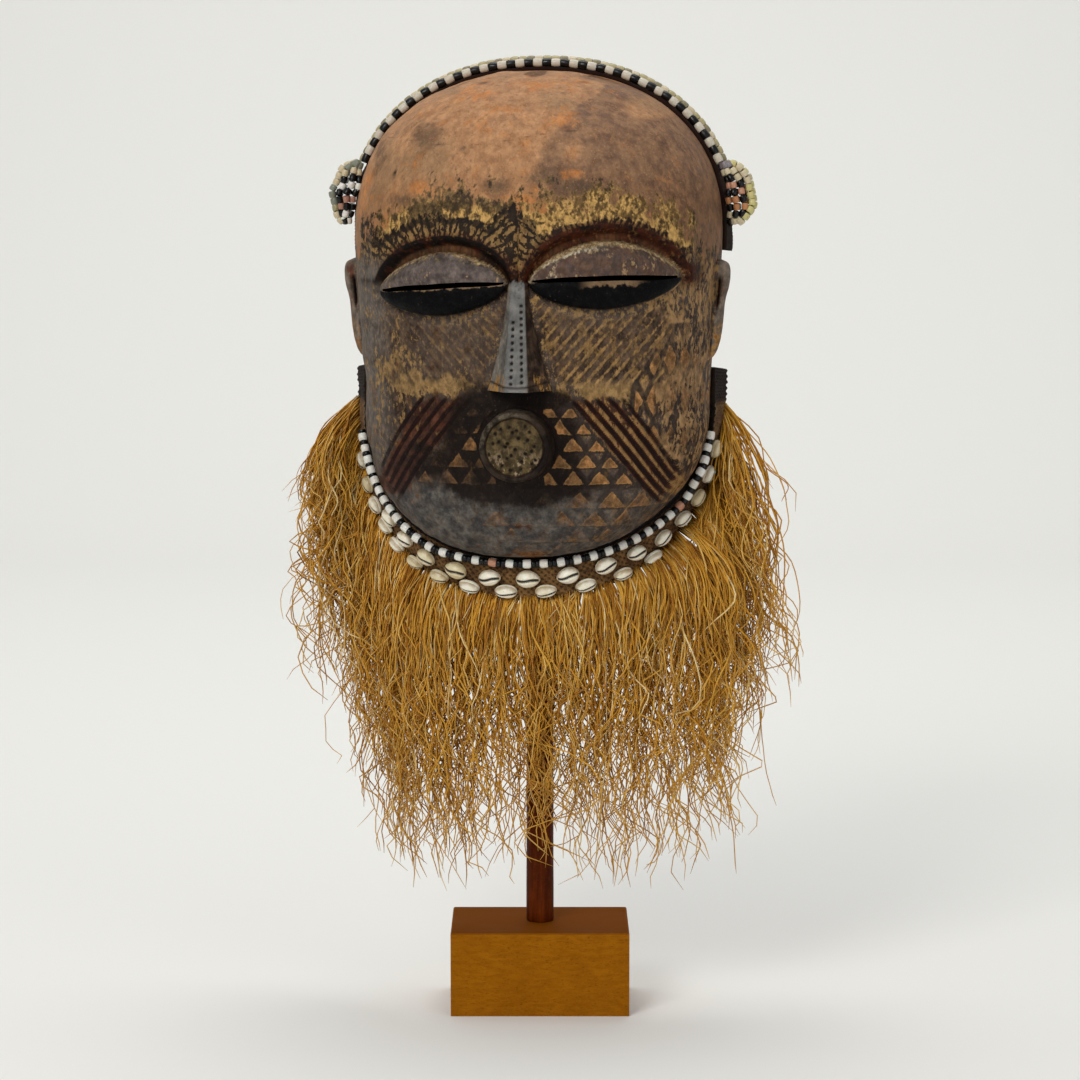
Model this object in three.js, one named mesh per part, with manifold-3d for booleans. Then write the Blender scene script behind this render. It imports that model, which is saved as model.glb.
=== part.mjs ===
// A carved wooden face mask with sewn-on beads, cowries and a raffia fringe, held on a rod and block.
// Millimetres. +Z is up, the face looks along -Y, the origin is the centre of the block's underside.
import * as THREE from 'three';
import { mergeVertices } from 'three/addons/utils/BufferGeometryUtils.js';
import Module from 'manifold-3d';

const wasm = await Module();
wasm.setup();

// The stand
const BASE_WIDTH = 113;
const BASE_DEPTH = 78;
const BASE_HEIGHT = 53.4;
const BASE_BEVEL = 0.8;
const ROD_RADIUS = 8.7;
const ROD_TOP = 574;
const GAP = 0.3;

// How the mask sits on the rod
const MASK_TURN_DEG = -7;
const MASK_SHIFT_X = -3.5;

// The carved half helmet: its outline seen from the front, and how far it reaches forward
const Z_BROW = 495.4;
const Z_CHEEK = 385;
const TOP_HEIGHT = 99.5;
const LOW_HEIGHT = 94.4;
const HALF_WIDTH_TOP = 116.2;
const HALF_WIDTH_LOW = 109.4;
const OUTLINE_POWER = 2.2;
const SECTION_POWER = 2.4;
const FRONT_BROW = -83;
const FRONT_CHEEK = -71;
const EDGE_BROW = 31;
const EDGE_CHEEK = 21;
const EDGE_CROWN = 41;
const EDGE_CHIN = -22;
const JAW_SWAY = 5;
const SWAY_FROM = 0.3;
const SWAY_TO = 1;
const WALL = 11;
const CHIN_WALL = 9.8;
const SHELL_ROWS = 20;
const SHELL_COLUMNS = 16;
const OUTLINE_CENTRE_Z = 442;

// The features of the face
const LEFT_EYE = { x: -48, z: 461, tilt: 0.06, half: 41.5, up: 19.5, down: 19 };
const RIGHT_EYE = { x: 51.5, z: 466, tilt: 0.035, half: 45, up: 22, down: 19.5 };
const LID_LIFT = 8.5;
const SLIT_HEIGHT = 3.4;
const SLIT_SLOPE = 0.28;
const BROW_RISE = 12;
const BROW_WIDTH = 6.5;
const BROW_LIFT = 3.2;
const NOSE_TOP_Z = 465;
const NOSE_TIP_Z = 399;
const NOSE_REACH = 22;
const NOSE_FACET_HALF = 7.4;
const NOSE_ROOT_HALF = 19.5;
const MOUTH_Z = 365.5;
const MOUTH_X = -1.2;
const MOUTH_RADIUS = 21.4;
const MOUTH_FRONT = -92;
const MOUTH_SIDES = 18;
const SCAR_COUNT = 5;
const SCAR_WIDTH = 2.6;
const SCAR_DEPTH = 1.5;
const EAR_TOP_Z = 477;
const EAR_HEIGHT = 64;
const EAR_OUT = 7.4;
const EAR_DEPTH = 13;
const EAR_FRONT_Y = 3;

// The sewn bands
const JAW_BAND_START = 107;
const JAW_BAND_WIDTH = 27;
const BAND_THICK = 2.4;
const BAND_CLEAR = 0.4;
const JAW_BAND_TURN_LEFT = 65;
const JAW_BAND_TURN_RIGHT = 72;
const CROWN_BAND_END = 71;
const CROWN_BAND_WIDTH = 11.5;
const CROWN_BAND_LEAN = 72;
const CROWN_BAND_THICK = 1.8;
const BEAD_RADIUS = 2.75;
const BEAD_PITCH = 5.7;
const CROWN_BEADS_END = 49.6;
const JAW_BEADS_START = 124.5;
const CLUSTER_TOP = 50.6;
const CLUSTER_LOW = 64;
const CLUSTER_BEAD = 3.6;
// Each shell is sewn on by hand: its angle round the edge, and how far across the band it lies.
// The last three of the upper row climb alone to the left temple.
const UPPER_COWRIES = [
  [127.8, 7.9], [133.1, 11.4], [138.1, 15.4], [143.5, 16], [149.5, 15.6], [156.2, 13.1],
  [163.4, 12], [171.8, 12.4], [180.5, 12.9], [189.1, 13.4], [196.9, 13.4], [204.3, 14.4],
  [210.4, 13.1], [215.9, 11], [220.8, 20.3], [225.2, 22], [230.2, 22],
];
const LOWER_COWRIES = [
  [153.1, 23.2], [160.4, 21.8], [168.5, 20.6], [176.8, 20.6], [185.4, 20.9], [193.4, 21.2],
  [200.4, 22], [206.7, 23.3], [212.1, 23.6], [216.2, 20.4],
];
const COWRY_LENGTH = 15.2;
const COWRY_WIDTH = 10.8;
const COWRY_THICK = 7.4;
const LOWER_COWRY_SLIM = 0.84;
const LOWER_COWRY_ROLL = 30;

// The fringe
const FRINGE_START = 119;
const FRINGE_END = 243;
const FRINGE_HALF_SPAN = 62;
const FRINGE_LENGTH = 168;
const FRINGE_LONGER = 37;
const FRINGE_SHORTER = 36;
const FRINGE_THICK = 9;
const FRINGE_RIGHT = { reach: 61, pace: 2.8, draw: 0.1, corner: 0.58, cornerAt: 0.53, cornerWide: 0.13 };
const FRINGE_LEFT = { reach: 43, pace: 7, draw: 0.25, corner: 0.34, cornerAt: 0.36, cornerWide: 0.1 };
const FRINGE_LEAST_FLARE = 0.22;
const FRINGE_FIRST_PACE = 13;
const FRINGE_COLUMNS = 30;
const FRINGE_STEPS = [0, 0.05, 0.13, 0.3, 0.55, 0.8, 1];

const radians = (degrees) => degrees * Math.PI / 180;
const mix = (a, b, t) => a + (b - a) * t;
const clamp01 = (t) => Math.min(1, Math.max(0, t));
const smooth = (t) => clamp01(t) * clamp01(t) * (3 - 2 * clamp01(t));
const bulge = (s, power) => Math.max(0, 1 - Math.abs(s) ** power) ** (1 / power);
const vec = (x, y, z) => new THREE.Vector3(x, y, z);

// ---- closed bodies from rows of points ----

function closedBody(points, triangles) {
  const geometry = new THREE.BufferGeometry();
  const flat = points.flatMap((p) => [p.x, p.y, p.z]);
  geometry.setAttribute('position', new THREE.BufferAttribute(new Float32Array(flat), 3));
  geometry.setIndex(triangles);
  const merged = mergeVertices(geometry, 1e-4);
  const index = [...merged.index.array];
  const kept = [];
  let volume = 0;
  const a = vec();
  const b = vec();
  const c = vec();
  for (let i = 0; i < index.length; i += 3) {
    const [p, q, r] = index.slice(i, i + 3);
    if (p === q || q === r || r === p) continue;
    kept.push(p, q, r);
    a.fromBufferAttribute(merged.attributes.position, p);
    b.fromBufferAttribute(merged.attributes.position, q);
    c.fromBufferAttribute(merged.attributes.position, r);
    volume += a.dot(b.cross(c));
  }
  if (volume < 0) {
    for (let i = 0; i < kept.length; i += 3) [kept[i], kept[i + 1]] = [kept[i + 1], kept[i]];
  }
  merged.setIndex(kept);
  return merged;
}

// Rings of equal length, joined one to the next and closed at both ends by a fan about the middle
function skin(rings) {
  const count = rings[0].length;
  const points = rings.flat();
  const triangles = [];
  for (let i = 0; i + 1 < rings.length; i += 1) {
    for (let j = 0; j < count; j += 1) {
      const a = i * count + j;
      const b = i * count + (j + 1) % count;
      triangles.push(a, b, b + count, a, b + count, a + count);
    }
  }
  for (const end of [0, rings.length - 1]) {
    const middle = rings[end].reduce((sum, p) => sum.add(p), vec(0, 0, 0)).divideScalar(count);
    const hub = points.push(middle) - 1;
    for (let j = 0; j < count; j += 1) {
      const a = end * count + j;
      const b = end * count + (j + 1) % count;
      triangles.push(...(end === 0 ? [b, a, hub] : [a, b, hub]));
    }
  }
  return closedBody(points, triangles);
}

// Two grids of the same size, front and back, joined along their four borders
function sheet(front, back) {
  const rows = front.length;
  const columns = front[0].length;
  const points = [...front.flat(), ...back.flat()];
  const shift = rows * columns;
  const at = (i, j) => i * columns + j;
  const triangles = [];
  const quad = (a, b, c, d) => triangles.push(a, b, c, a, c, d);
  for (let i = 0; i + 1 < rows; i += 1) {
    for (let j = 0; j + 1 < columns; j += 1) {
      quad(at(i, j), at(i, j + 1), at(i + 1, j + 1), at(i + 1, j));
      quad(at(i, j) + shift, at(i + 1, j) + shift, at(i + 1, j + 1) + shift, at(i, j + 1) + shift);
    }
  }
  for (let j = 0; j + 1 < columns; j += 1) {
    quad(at(0, j + 1), at(0, j), at(0, j) + shift, at(0, j + 1) + shift);
    const i = rows - 1;
    quad(at(i, j), at(i, j + 1), at(i, j + 1) + shift, at(i, j) + shift);
  }
  for (let i = 0; i + 1 < rows; i += 1) {
    quad(at(i, 0), at(i + 1, 0), at(i + 1, 0) + shift, at(i, 0) + shift);
    const j = columns - 1;
    quad(at(i + 1, j), at(i, j), at(i, j) + shift, at(i + 1, j) + shift);
  }
  return closedBody(points, triangles);
}

function solid(geometry) {
  const bare = geometry.clone();
  bare.deleteAttribute('normal');
  bare.deleteAttribute('uv');
  const merged = mergeVertices(bare, 1e-4);
  return new wasm.Manifold(new wasm.Mesh({
    numProp: 3,
    vertProperties: new Float32Array(merged.attributes.position.array),
    triVerts: new Uint32Array(merged.index.array),
  }));
}

function geometryOf(body) {
  const mesh = body.getMesh();
  const geometry = new THREE.BufferGeometry();
  geometry.setAttribute('position', new THREE.BufferAttribute(mesh.vertProperties, 3));
  geometry.setIndex(new THREE.BufferAttribute(mesh.triVerts, 1));
  return geometry;
}

// ---- the helmet's surface ----

function helmet(z, inset = 0) {
  const top = clamp01((z - Z_BROW) / (TOP_HEIGHT - inset));
  const low = clamp01((Z_CHEEK - z) / (LOW_HEIGHT - inset * CHIN_WALL / WALL));
  const along = smooth((z - Z_CHEEK) / (Z_BROW - Z_CHEEK));
  let half = mix(HALF_WIDTH_LOW, HALF_WIDTH_TOP, along) - inset;
  let front = mix(FRONT_CHEEK, FRONT_BROW, along) + inset;
  let edge = mix(EDGE_CHEEK, EDGE_BROW, along);
  if (z > Z_BROW) {
    half = (HALF_WIDTH_TOP - inset) * bulge(top, OUTLINE_POWER);
    front = mix(EDGE_CROWN, FRONT_BROW + inset, bulge(top, 2.2));
    edge = mix(EDGE_BROW, EDGE_CROWN, top * top);
  } else if (z < Z_CHEEK) {
    half = (HALF_WIDTH_LOW - inset) * bulge(low, OUTLINE_POWER);
    front = mix(EDGE_CHIN, FRONT_CHEEK + inset, bulge(low, 2));
    edge = mix(EDGE_CHEEK, EDGE_CHIN, low * low);
  }
  return { half, front, edge };
}

// The jaw is carved by hand and swings a little to the left towards the chin
function jawSway(z) {
  const low = (Z_CHEEK - z) / LOW_HEIGHT;
  return -JAW_SWAY * smooth((low - SWAY_FROM) / (SWAY_TO - SWAY_FROM));
}

function surfaceY(x, z) {
  const { half, front, edge } = helmet(z);
  const aside = Math.abs(x - jawSway(z)) / Math.max(half, 0.01);
  return mix(edge, front, bulge(clamp01(aside), SECTION_POWER));
}

const onFace = (x, z, lift = 0) => vec(x, surfaceY(x, z) - lift, z);

// The outside sways with the jaw; the hollow was cut straight
function shellGrid(inset) {
  const low = Z_CHEEK - LOW_HEIGHT + inset * CHIN_WALL / WALL;
  const high = Z_BROW + TOP_HEIGHT - inset;
  const grid = [];
  for (let i = 0; i <= SHELL_ROWS; i += 1) {
    const share = 0.5 - 0.5 * Math.cos(Math.PI * i / SHELL_ROWS);
    const z = mix(low, high, share);
    const { half, front, edge } = helmet(z, inset);
    const sway = inset > 0 ? 0 : jawSway(z);
    const row = [];
    for (let j = 0; j <= SHELL_COLUMNS; j += 1) {
      const across = Math.sin(radians(mix(-90, 90, j / SHELL_COLUMNS)));
      row.push(vec(half * across + sway, mix(edge, front, bulge(across, SECTION_POWER)), z));
    }
    grid.push(row);
  }
  return grid;
}

// ---- the carved features ----

function slitZ(eye, u) {
  return eye.z + eye.tilt * eye.half * u + 2.2 * (1 - u * u);
}

function lid(eye, up) {
  const front = [];
  const back = [];
  const reach = up ? eye.up : -eye.down;
  for (let i = 0; i <= 3; i += 1) {
    const v = [0, 0.3, 0.75, 1][i];
    const frontRow = [];
    const backRow = [];
    for (let j = 0; j <= 8; j += 1) {
      const u = Math.sin(radians(mix(-90, 90, j / 8)));
      const x = eye.x + eye.half * u;
      const z = slitZ(eye, u) + reach * v * bulge(u, 1.7);
      const lift = LID_LIFT * bulge(u, 2) * (up ? [0.85, 1, 0.72, 0.1] : [0.78, 1, 0.86, 0.35])[i];
      frontRow.push(onFace(x, z, lift + 0.2));
      backRow.push(onFace(x, z, -4));
    }
    front.push(frontRow);
    back.push(backRow);
  }
  return solid(sheet(front, back));
}

function slit(eye) {
  const top = [];
  const bottom = [];
  for (const y of [-104, 0]) {
    const topRow = [];
    const bottomRow = [];
    for (let j = 0; j <= 8; j += 1) {
      const u = mix(-0.93, 0.93, j / 8);
      const half = SLIT_HEIGHT / 2 * (1 - 0.75 * u ** 4);
      const x = eye.x + eye.half * u;
      const z = slitZ(eye, u) + (y - surfaceY(x, eye.z) + 6) * SLIT_SLOPE;
      topRow.push(vec(x, y, z + half));
      bottomRow.push(vec(x, y, z - half));
    }
    top.push(topRow);
    bottom.push(bottomRow);
  }
  return solid(sheet(top, bottom));
}

function brow(eye, side) {
  const rings = [];
  for (let j = 0; j <= 12; j += 1) {
    const u = mix(-1.12, 1.16, j / 12) * side;
    const x = eye.x + eye.half * u;
    const z = slitZ(eye, u) + (eye.up + BROW_RISE) * bulge(u / 1.2, 2.1) + 1;
    const half = BROW_WIDTH / 2 * (j === 0 || j === 12 ? 0.4 : 1);
    rings.push([
      onFace(x, z + half, -0.4),
      onFace(x, z + half * 0.2, BROW_LIFT),
      onFace(x, z - half, -0.4),
      onFace(x, z, -4),
    ]);
  }
  return solid(skin(rings));
}

function nose() {
  const rings = [];
  for (const t of [0, 0.3, 0.62, 0.9, 1]) {
    const z = mix(NOSE_TOP_Z, NOSE_TIP_Z, t);
    const reach = mix(1.5, NOSE_REACH, t ** 0.9);
    const facet = mix(4.2, NOSE_FACET_HALF, t);
    const root = mix(6, NOSE_ROOT_HALF, t ** 1.5);
    const base = surfaceY(0, z);
    rings.push([
      vec(-root, base + 7, z),
      vec(-root, base - 0.5 - reach * 0.12, z),
      vec(-facet, base - reach, z),
      vec(facet, base - reach, z),
      vec(root, base - 0.5 - reach * 0.12, z),
      vec(root, base + 7, z),
    ]);
  }
  return solid(skin(rings));
}

function mouth() {
  const profile = [
    [0, -62], [MOUTH_RADIUS + 1.2, -62], [MOUTH_RADIUS, MOUTH_FRONT + 1.5],
    [MOUTH_RADIUS - 1.6, MOUTH_FRONT], [MOUTH_RADIUS - 3.2, MOUTH_FRONT + 0.6],
    [MOUTH_RADIUS - 4, MOUTH_FRONT + 2.4], [0, MOUTH_FRONT + 1.8],
  ];
  const lathe = new THREE.LatheGeometry(profile.map(([r, y]) => new THREE.Vector2(r, y)), MOUTH_SIDES);
  lathe.translate(MOUTH_X, 0, 0);
  const place = new THREE.Matrix4().makeTranslation(0, 0, MOUTH_Z);
  lathe.deleteAttribute('normal');
  lathe.deleteAttribute('uv');
  lathe.applyMatrix4(place);
  return solid(closedBody(pointsOf(lathe), [...lathe.index.array]));
}

function pointsOf(geometry) {
  const p = geometry.attributes.position;
  return Array.from({ length: p.count }, (_, i) => vec().fromBufferAttribute(p, i));
}

// One long scar groove from beside the nose down to the jaw
function scar(side, k) {
  const share = k / (SCAR_COUNT - 1);
  const startX = mix(28, 59, share);
  const endX = mix(85, 94, share);
  const endZ = mix(322, 344, share);
  const rings = [];
  for (let j = 0; j <= 4; j += 1) {
    const t = j / 4;
    const x = side * mix(startX, endX, t);
    const z = mix(397, endZ, t) + 5 * t * (1 - t);
    const width = SCAR_WIDTH * (j === 0 || j === 4 ? 0.5 : 1);
    rings.push([
      onFace(x - side * width * 0.36, z - width * 0.36, 1.2),
      onFace(x + side * width * 0.36, z + width * 0.36, 1.2),
      onFace(x, z, -SCAR_DEPTH),
    ]);
  }
  return solid(skin(rings));
}

// The ear: a small C-shaped lug on the side of the head, hollowed from the front
function ear(side) {
  const outline = [[-9, 0], [4, 0.02], [9.5, 0.06], [12, 0.16], [11.6, 0.27], [9.2, 0.36], [8.6, 0.46],
    [9.4, 0.6], [10, 0.76], [8.2, 0.9], [4, 0.98], [-9, 1]];
  const lug = (y0, y1, list) => {
    const shape = list.map(([out, t]) => [out * EAR_OUT / 12, EAR_TOP_Z - EAR_HEIGHT * t]);
    return skin([y0, y1].map((y) => shape.map(([out, z]) => {
      const wall = helmet(z).half;
      return vec(side * (wall + out), y, z);
    })));
  };
  const hollow = [[2, 0.12], [6.6, 0.15], [8.4, 0.22], [6, 0.33], [4.6, 0.46], [5.4, 0.6], [6, 0.74],
    [4, 0.85], [1.4, 0.86], [1, 0.5]];
  const plate = solid(lug(EAR_FRONT_Y, EAR_FRONT_Y + EAR_DEPTH, outline));
  const cut = solid(lug(EAR_FRONT_Y - 1, EAR_FRONT_Y + EAR_DEPTH * 0.6, hollow));
  return plate.subtract(cut);
}

function woodFace() {
  let body = solid(sheet(shellGrid(0), shellGrid(WALL)));
  for (const eye of [LEFT_EYE, RIGHT_EYE]) {
    body = body.add(lid(eye, true)).add(lid(eye, false));
  }
  body = body.add(brow(LEFT_EYE, -1)).add(brow(RIGHT_EYE, 1));
  body = body.add(nose()).add(mouth());
  for (const side of [-1, 1]) {
    body = body.add(ear(side));
    for (let k = 0; k < SCAR_COUNT; k += 1) body = body.subtract(scar(side, k));
  }
  for (const eye of [LEFT_EYE, RIGHT_EYE]) body = body.subtract(slit(eye));
  // crossing grooves leave crumbs, so only the largest body is the face
  const [face] = body.decompose().sort((a, b) => b.volume() - a.volume());
  return geometryOf(face);
}

// ---- the edge of the helmet, by the angle from the crown, clockwise as seen from the front ----

function edgePoint(angle) {
  const dx = Math.sin(radians(angle));
  const dz = Math.cos(radians(angle));
  let near = 0;
  let far = 220;
  for (let i = 0; i < 40; i += 1) {
    const r = (near + far) / 2;
    const z = OUTLINE_CENTRE_Z + r * dz;
    const within = z < Z_BROW + TOP_HEIGHT && z > Z_CHEEK - LOW_HEIGHT;
    const inside = within && Math.abs(r * dx - jawSway(z)) < helmet(z).half;
    if (inside) near = r; else far = r;
  }
  const z = OUTLINE_CENTRE_Z + near * dz;
  return vec(near * dx, helmet(z).edge, z);
}

// Along, out and away from the edge: the frame in which the bands and beads are placed
function edgeFrame(angle) {
  const point = edgePoint(angle);
  const along = edgePoint(angle + 0.6).sub(edgePoint(angle - 0.6)).normalize();
  const back = vec(0, 1, 0).addScaledVector(along, -along.y).normalize();
  const out = vec().crossVectors(back, along).normalize();
  if (out.x * point.x + out.z * (point.z - OUTLINE_CENTRE_Z) < 0) out.negate();
  return { point, along, back, out };
}

// A band's own frame: it leans back from the edge by a given angle, and its root is on the outer face
function leaningFrame(angle, lean, thick) {
  const f = edgeFrame(angle);
  const width = f.out.clone().multiplyScalar(Math.cos(lean)).addScaledVector(f.back, Math.sin(lean));
  const face = f.out.clone().multiplyScalar(Math.sin(lean)).addScaledVector(f.back, -Math.cos(lean));
  const root = f.point.clone().addScaledVector(f.out, BAND_CLEAR + thick * Math.sin(lean));
  return { ...f, width, face, root };
}

function jawFrame(angle) {
  const turn = angle > 180 ? JAW_BAND_TURN_LEFT : JAW_BAND_TURN_RIGHT;
  const lean = radians(6 + turn * smooth(Math.abs(180 - angle) / 58));
  return leaningFrame(angle, lean, BAND_THICK);
}

function crownFrame(angle) {
  return leaningFrame(angle, radians(CROWN_BAND_LEAN), CROWN_BAND_THICK);
}

function band(frameAt, start, end, width, thick, stations) {
  const front = [];
  const back = [];
  for (let i = 0; i <= stations; i += 1) {
    const f = frameAt(mix(start, end, i / stations));
    const wave = 0.5 * Math.sin(i * 2.4);
    const outer = f.root.clone().addScaledVector(f.width, width + wave);
    front.push([f.root, outer]);
    back.push([f.root, outer].map((p) => p.clone().addScaledVector(f.face, -thick)));
  }
  return sheet(front, back);
}

// Angles at equal steps of length along a line given by a function of the angle
function evenAngles(lineAt, start, end, pitch) {
  const steps = 400;
  const lengths = [0];
  let last = lineAt(start);
  for (let i = 1; i <= steps; i += 1) {
    const next = lineAt(mix(start, end, i / steps));
    lengths.push(lengths[i - 1] + next.distanceTo(last));
    last = next;
  }
  const count = Math.round(lengths[steps] / pitch);
  const angles = [];
  let k = 0;
  for (let i = 0; i <= count; i += 1) {
    const want = lengths[steps] * i / count;
    while (k < steps && lengths[k + 1] < want - 1e-9) k += 1;
    const part = k < steps ? (want - lengths[k]) / (lengths[k + 1] - lengths[k]) : 0;
    angles.push(mix(start, end, Math.min(1, (k + part) / steps)));
  }
  return angles;
}

// A string of beads: a narrow ring between two beads, a wide ring round the middle of each
function beadString(lineAt, start, end, pitch, radius, sides) {
  const angles = evenAngles(lineAt, start, end, pitch / 2);
  const rings = [];
  for (let i = 0; i < angles.length; i += 1) {
    const angle = angles[i];
    const here = lineAt(angle);
    const ahead = lineAt(angle + 0.3 * Math.sign(end - start)).sub(here).normalize();
    const side = vec(0, 1, 0).addScaledVector(ahead, -ahead.y).normalize();
    const up = vec().crossVectors(side, ahead);
    const r = i % 2 === 1 ? radius : radius * 0.55;
    rings.push(Array.from({ length: sides }, (_, k) => here.clone()
      .addScaledVector(side, r * Math.cos(2 * Math.PI * (k + 0.5) / sides))
      .addScaledVector(up, r * Math.sin(2 * Math.PI * (k + 0.5) / sides))));
  }
  return skin(rings);
}

const crownLine = (w, lift) => (angle) => {
  const f = crownFrame(angle);
  return f.root.clone().addScaledVector(f.width, w).addScaledVector(f.face, lift);
};
const jawLine = (w, lift) => (angle) => {
  const f = jawFrame(angle);
  return f.root.clone().addScaledVector(f.width, w).addScaledVector(f.face, lift);
};

// The bead string on the jaw band: it sags under the left jaw, and on the right it slips off the band's
// face onto the edge of the wood
function jawBeadLine(angle) {
  const slip = smooth((142 - angle) / 7);
  const drop = smooth((134.5 - angle) / 6);
  const sag = 2 * Math.exp(-(((angle - 204.5) / 6) ** 2));
  return jawLine(mix(3.1, -3.3, slip) + sag, mix(BEAD_RADIUS + GAP, 0.4, drop))(angle);
}

// A cowry: an egg with its slit along the side that faces out. It may be rolled towards the hem.
function cowry(angle, across, shrink, slim = 1, roll = 0) {
  const f = jawFrame(angle);
  const cos = Math.cos(radians(roll));
  const sin = Math.sin(radians(roll));
  const width = f.width.clone().multiplyScalar(cos).addScaledVector(f.face, -sin);
  const face = f.face.clone().multiplyScalar(cos).addScaledVector(f.width, sin);
  const rest = Math.hypot(COWRY_THICK * cos, COWRY_WIDTH * slim * sin) * shrink / 2;
  const middle = f.root.clone().addScaledVector(f.width, across).addScaledVector(f.face, rest + GAP + 0.1);
  const rings = [];
  for (const t of [-0.93, -0.4, 0.42, 0.95]) {
    const fat = Math.sqrt(1 - t * t) * (1 - 0.12 * t) * shrink;
    const half = COWRY_WIDTH / 2 * slim * fat;
    const thick = COWRY_THICK / 2 * fat;
    const section = [[0.32, 0.97], [0, 0.62], [-0.32, 0.97], [-1, 0], [0, -1], [1, 0]];
    rings.push(section.map(([p, q]) => middle.clone()
      .addScaledVector(f.along, COWRY_LENGTH / 2 * shrink * t)
      .addScaledVector(width, half * p)
      .addScaledVector(face, thick * q)));
  }
  return skin(rings);
}

// The pompom of looped bead strings at each temple
function beadCluster(side) {
  let body = null;
  const loops = [
    { out: 0.4, across: 3, beads: 6 },
    { out: 7.5, across: 5, beads: 7 },
    { out: 13.6, across: 7.5, beads: 8 },
  ];
  for (const loop of loops) {
    const line = (t) => {
      const f = crownFrame(mix(CLUSTER_TOP, CLUSTER_LOW, t) * side);
      const swell = Math.sin(Math.PI * clamp01(t)) ** 0.6;
      return f.root.clone().addScaledVector(f.width, 3 + (loop.across - 3) * swell)
        .addScaledVector(f.face, CLUSTER_BEAD * 1.2 + GAP + loop.out * swell);
    };
    const rings = [];
    const steps = loop.beads * 2;
    for (let i = 0; i <= steps; i += 1) {
      const t = i / steps;
      const here = line(t);
      const ahead = line(Math.min(1, t + 0.02)).sub(line(Math.max(0, t - 0.02))).normalize();
      const sideways = vec(0, 1, 0).addScaledVector(ahead, -ahead.y).normalize();
      const up = vec().crossVectors(sideways, ahead);
      const r = i % 2 === 1 ? CLUSTER_BEAD : CLUSTER_BEAD * 0.65;
      rings.push(Array.from({ length: 4 }, (_, k) => here.clone()
        .addScaledVector(sideways, r * 1.2 * Math.cos(Math.PI * (k + 0.5) / 2))
        .addScaledVector(up, r * 1.2 * Math.sin(Math.PI * (k + 0.5) / 2))));
    }
    const string = solid(skin(rings));
    body = body ? body.add(string) : string;
  }
  return geometryOf(body);
}

// ---- the raffia fringe: a pleated curtain hung from the outer edge of the jaw band ----

// It is longest below the corners of the jaw. It springs out at the two temples, slowly on the right
// and at once on the left, bushes forward a little at the jaw's corners and hangs straight below the chin.
function fringeGrid(depth) {
  const grid = [];
  for (let j = 0; j <= FRINGE_COLUMNS; j += 1) {
    const angle = mix(FRINGE_START, FRINGE_END, j / FRINGE_COLUMNS);
    const root = jawLine(JAW_BAND_WIDTH + 1.4, 0.8)(angle);
    const ahead = jawLine(JAW_BAND_WIDTH, 0)(angle + 1).sub(jawLine(JAW_BAND_WIDTH, 0)(angle - 1));
    const plan = vec(-ahead.y, ahead.x, 0).normalize();
    if (plan.y * -1 + plan.x * root.x * 0.02 < 0) plan.negate();
    const leftness = smooth((angle - 160) / 40);
    const fromChin = Math.abs(180 - angle) / FRINGE_HALF_SPAN;
    const side = (name) => mix(FRINGE_RIGHT[name], FRINGE_LEFT[name], leftness);
    const corner = side('corner') * Math.exp(-(((fromChin - side('cornerAt')) / side('cornerWide')) ** 2));
    const temple = smooth((fromChin - 0.78) / 0.22);
    const reach = side('reach') * (mix(FRINGE_LEAST_FLARE, 1, temple) + corner);
    const pace = mix(FRINGE_FIRST_PACE, side('pace'), smooth((fromChin - 0.7) / 0.2));
    const draw = side('draw');
    const length = FRINGE_LENGTH + FRINGE_LONGER * smooth(fromChin / 0.6)
      - FRINGE_SHORTER * smooth((fromChin - 0.6) / 0.4) + 6 * Math.sin(j * 2.1) + 4 * Math.sin(j * 0.9);
    const row = [];
    for (const t of FRINGE_STEPS) {
      const flare = reach * (1 - Math.exp(-pace * t)) / (1 - Math.exp(-pace)) * (1 - draw * t * t);
      const pleat = 1.8 * Math.sin(j * 1.9) * smooth(t * 3);
      const thick = FRINGE_THICK * mix(0.55, 1, smooth(t * 2.5)) * (1 - 0.45 * t);
      row.push(root.clone().addScaledVector(plan, flare + pleat - depth * thick)
        .add(vec(0, 0, -length * t)));
    }
    grid.push(row);
  }
  return grid;
}

// ---- the stand ----

function standBase() {
  const half = (inset) => [
    [BASE_WIDTH / 2 - inset, BASE_DEPTH / 2 - inset],
    [-BASE_WIDTH / 2 + inset, BASE_DEPTH / 2 - inset],
    [-BASE_WIDTH / 2 + inset, -BASE_DEPTH / 2 + inset],
    [BASE_WIDTH / 2 - inset, -BASE_DEPTH / 2 + inset],
  ];
  return skin([
    half(0).map(([x, y]) => vec(x, y, 0)),
    half(0).map(([x, y]) => vec(x, y, BASE_HEIGHT - BASE_BEVEL)),
    half(BASE_BEVEL).map(([x, y]) => vec(x, y, BASE_HEIGHT)),
  ]);
}

function standRod() {
  const profile = [[0, BASE_HEIGHT + GAP], [ROD_RADIUS, BASE_HEIGHT + GAP], [ROD_RADIUS, ROD_TOP - 5],
    [ROD_RADIUS - 2.2, ROD_TOP - 1], [0, ROD_TOP]];
  const lathe = new THREE.LatheGeometry(profile.map(([r, z]) => new THREE.Vector2(r, z)), 20);
  lathe.rotateX(Math.PI / 2);
  lathe.deleteAttribute('normal');
  lathe.deleteAttribute('uv');
  return closedBody(pointsOf(lathe), [...lathe.index.array]);
}

// ---- assembly ----

function piece(name, geometry, colour, roughness, metalness = 0) {
  geometry.computeVertexNormals();
  const material = new THREE.MeshStandardMaterial({ color: colour, roughness, metalness });
  const mesh = new THREE.Mesh(geometry, material);
  mesh.name = name;
  return mesh;
}

const model = new THREE.Group();
model.name = 'beaded_mask';

const mask = new THREE.Group();
mask.name = 'mask';
mask.rotation.z = radians(MASK_TURN_DEG);
mask.position.x = MASK_SHIFT_X;

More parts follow.
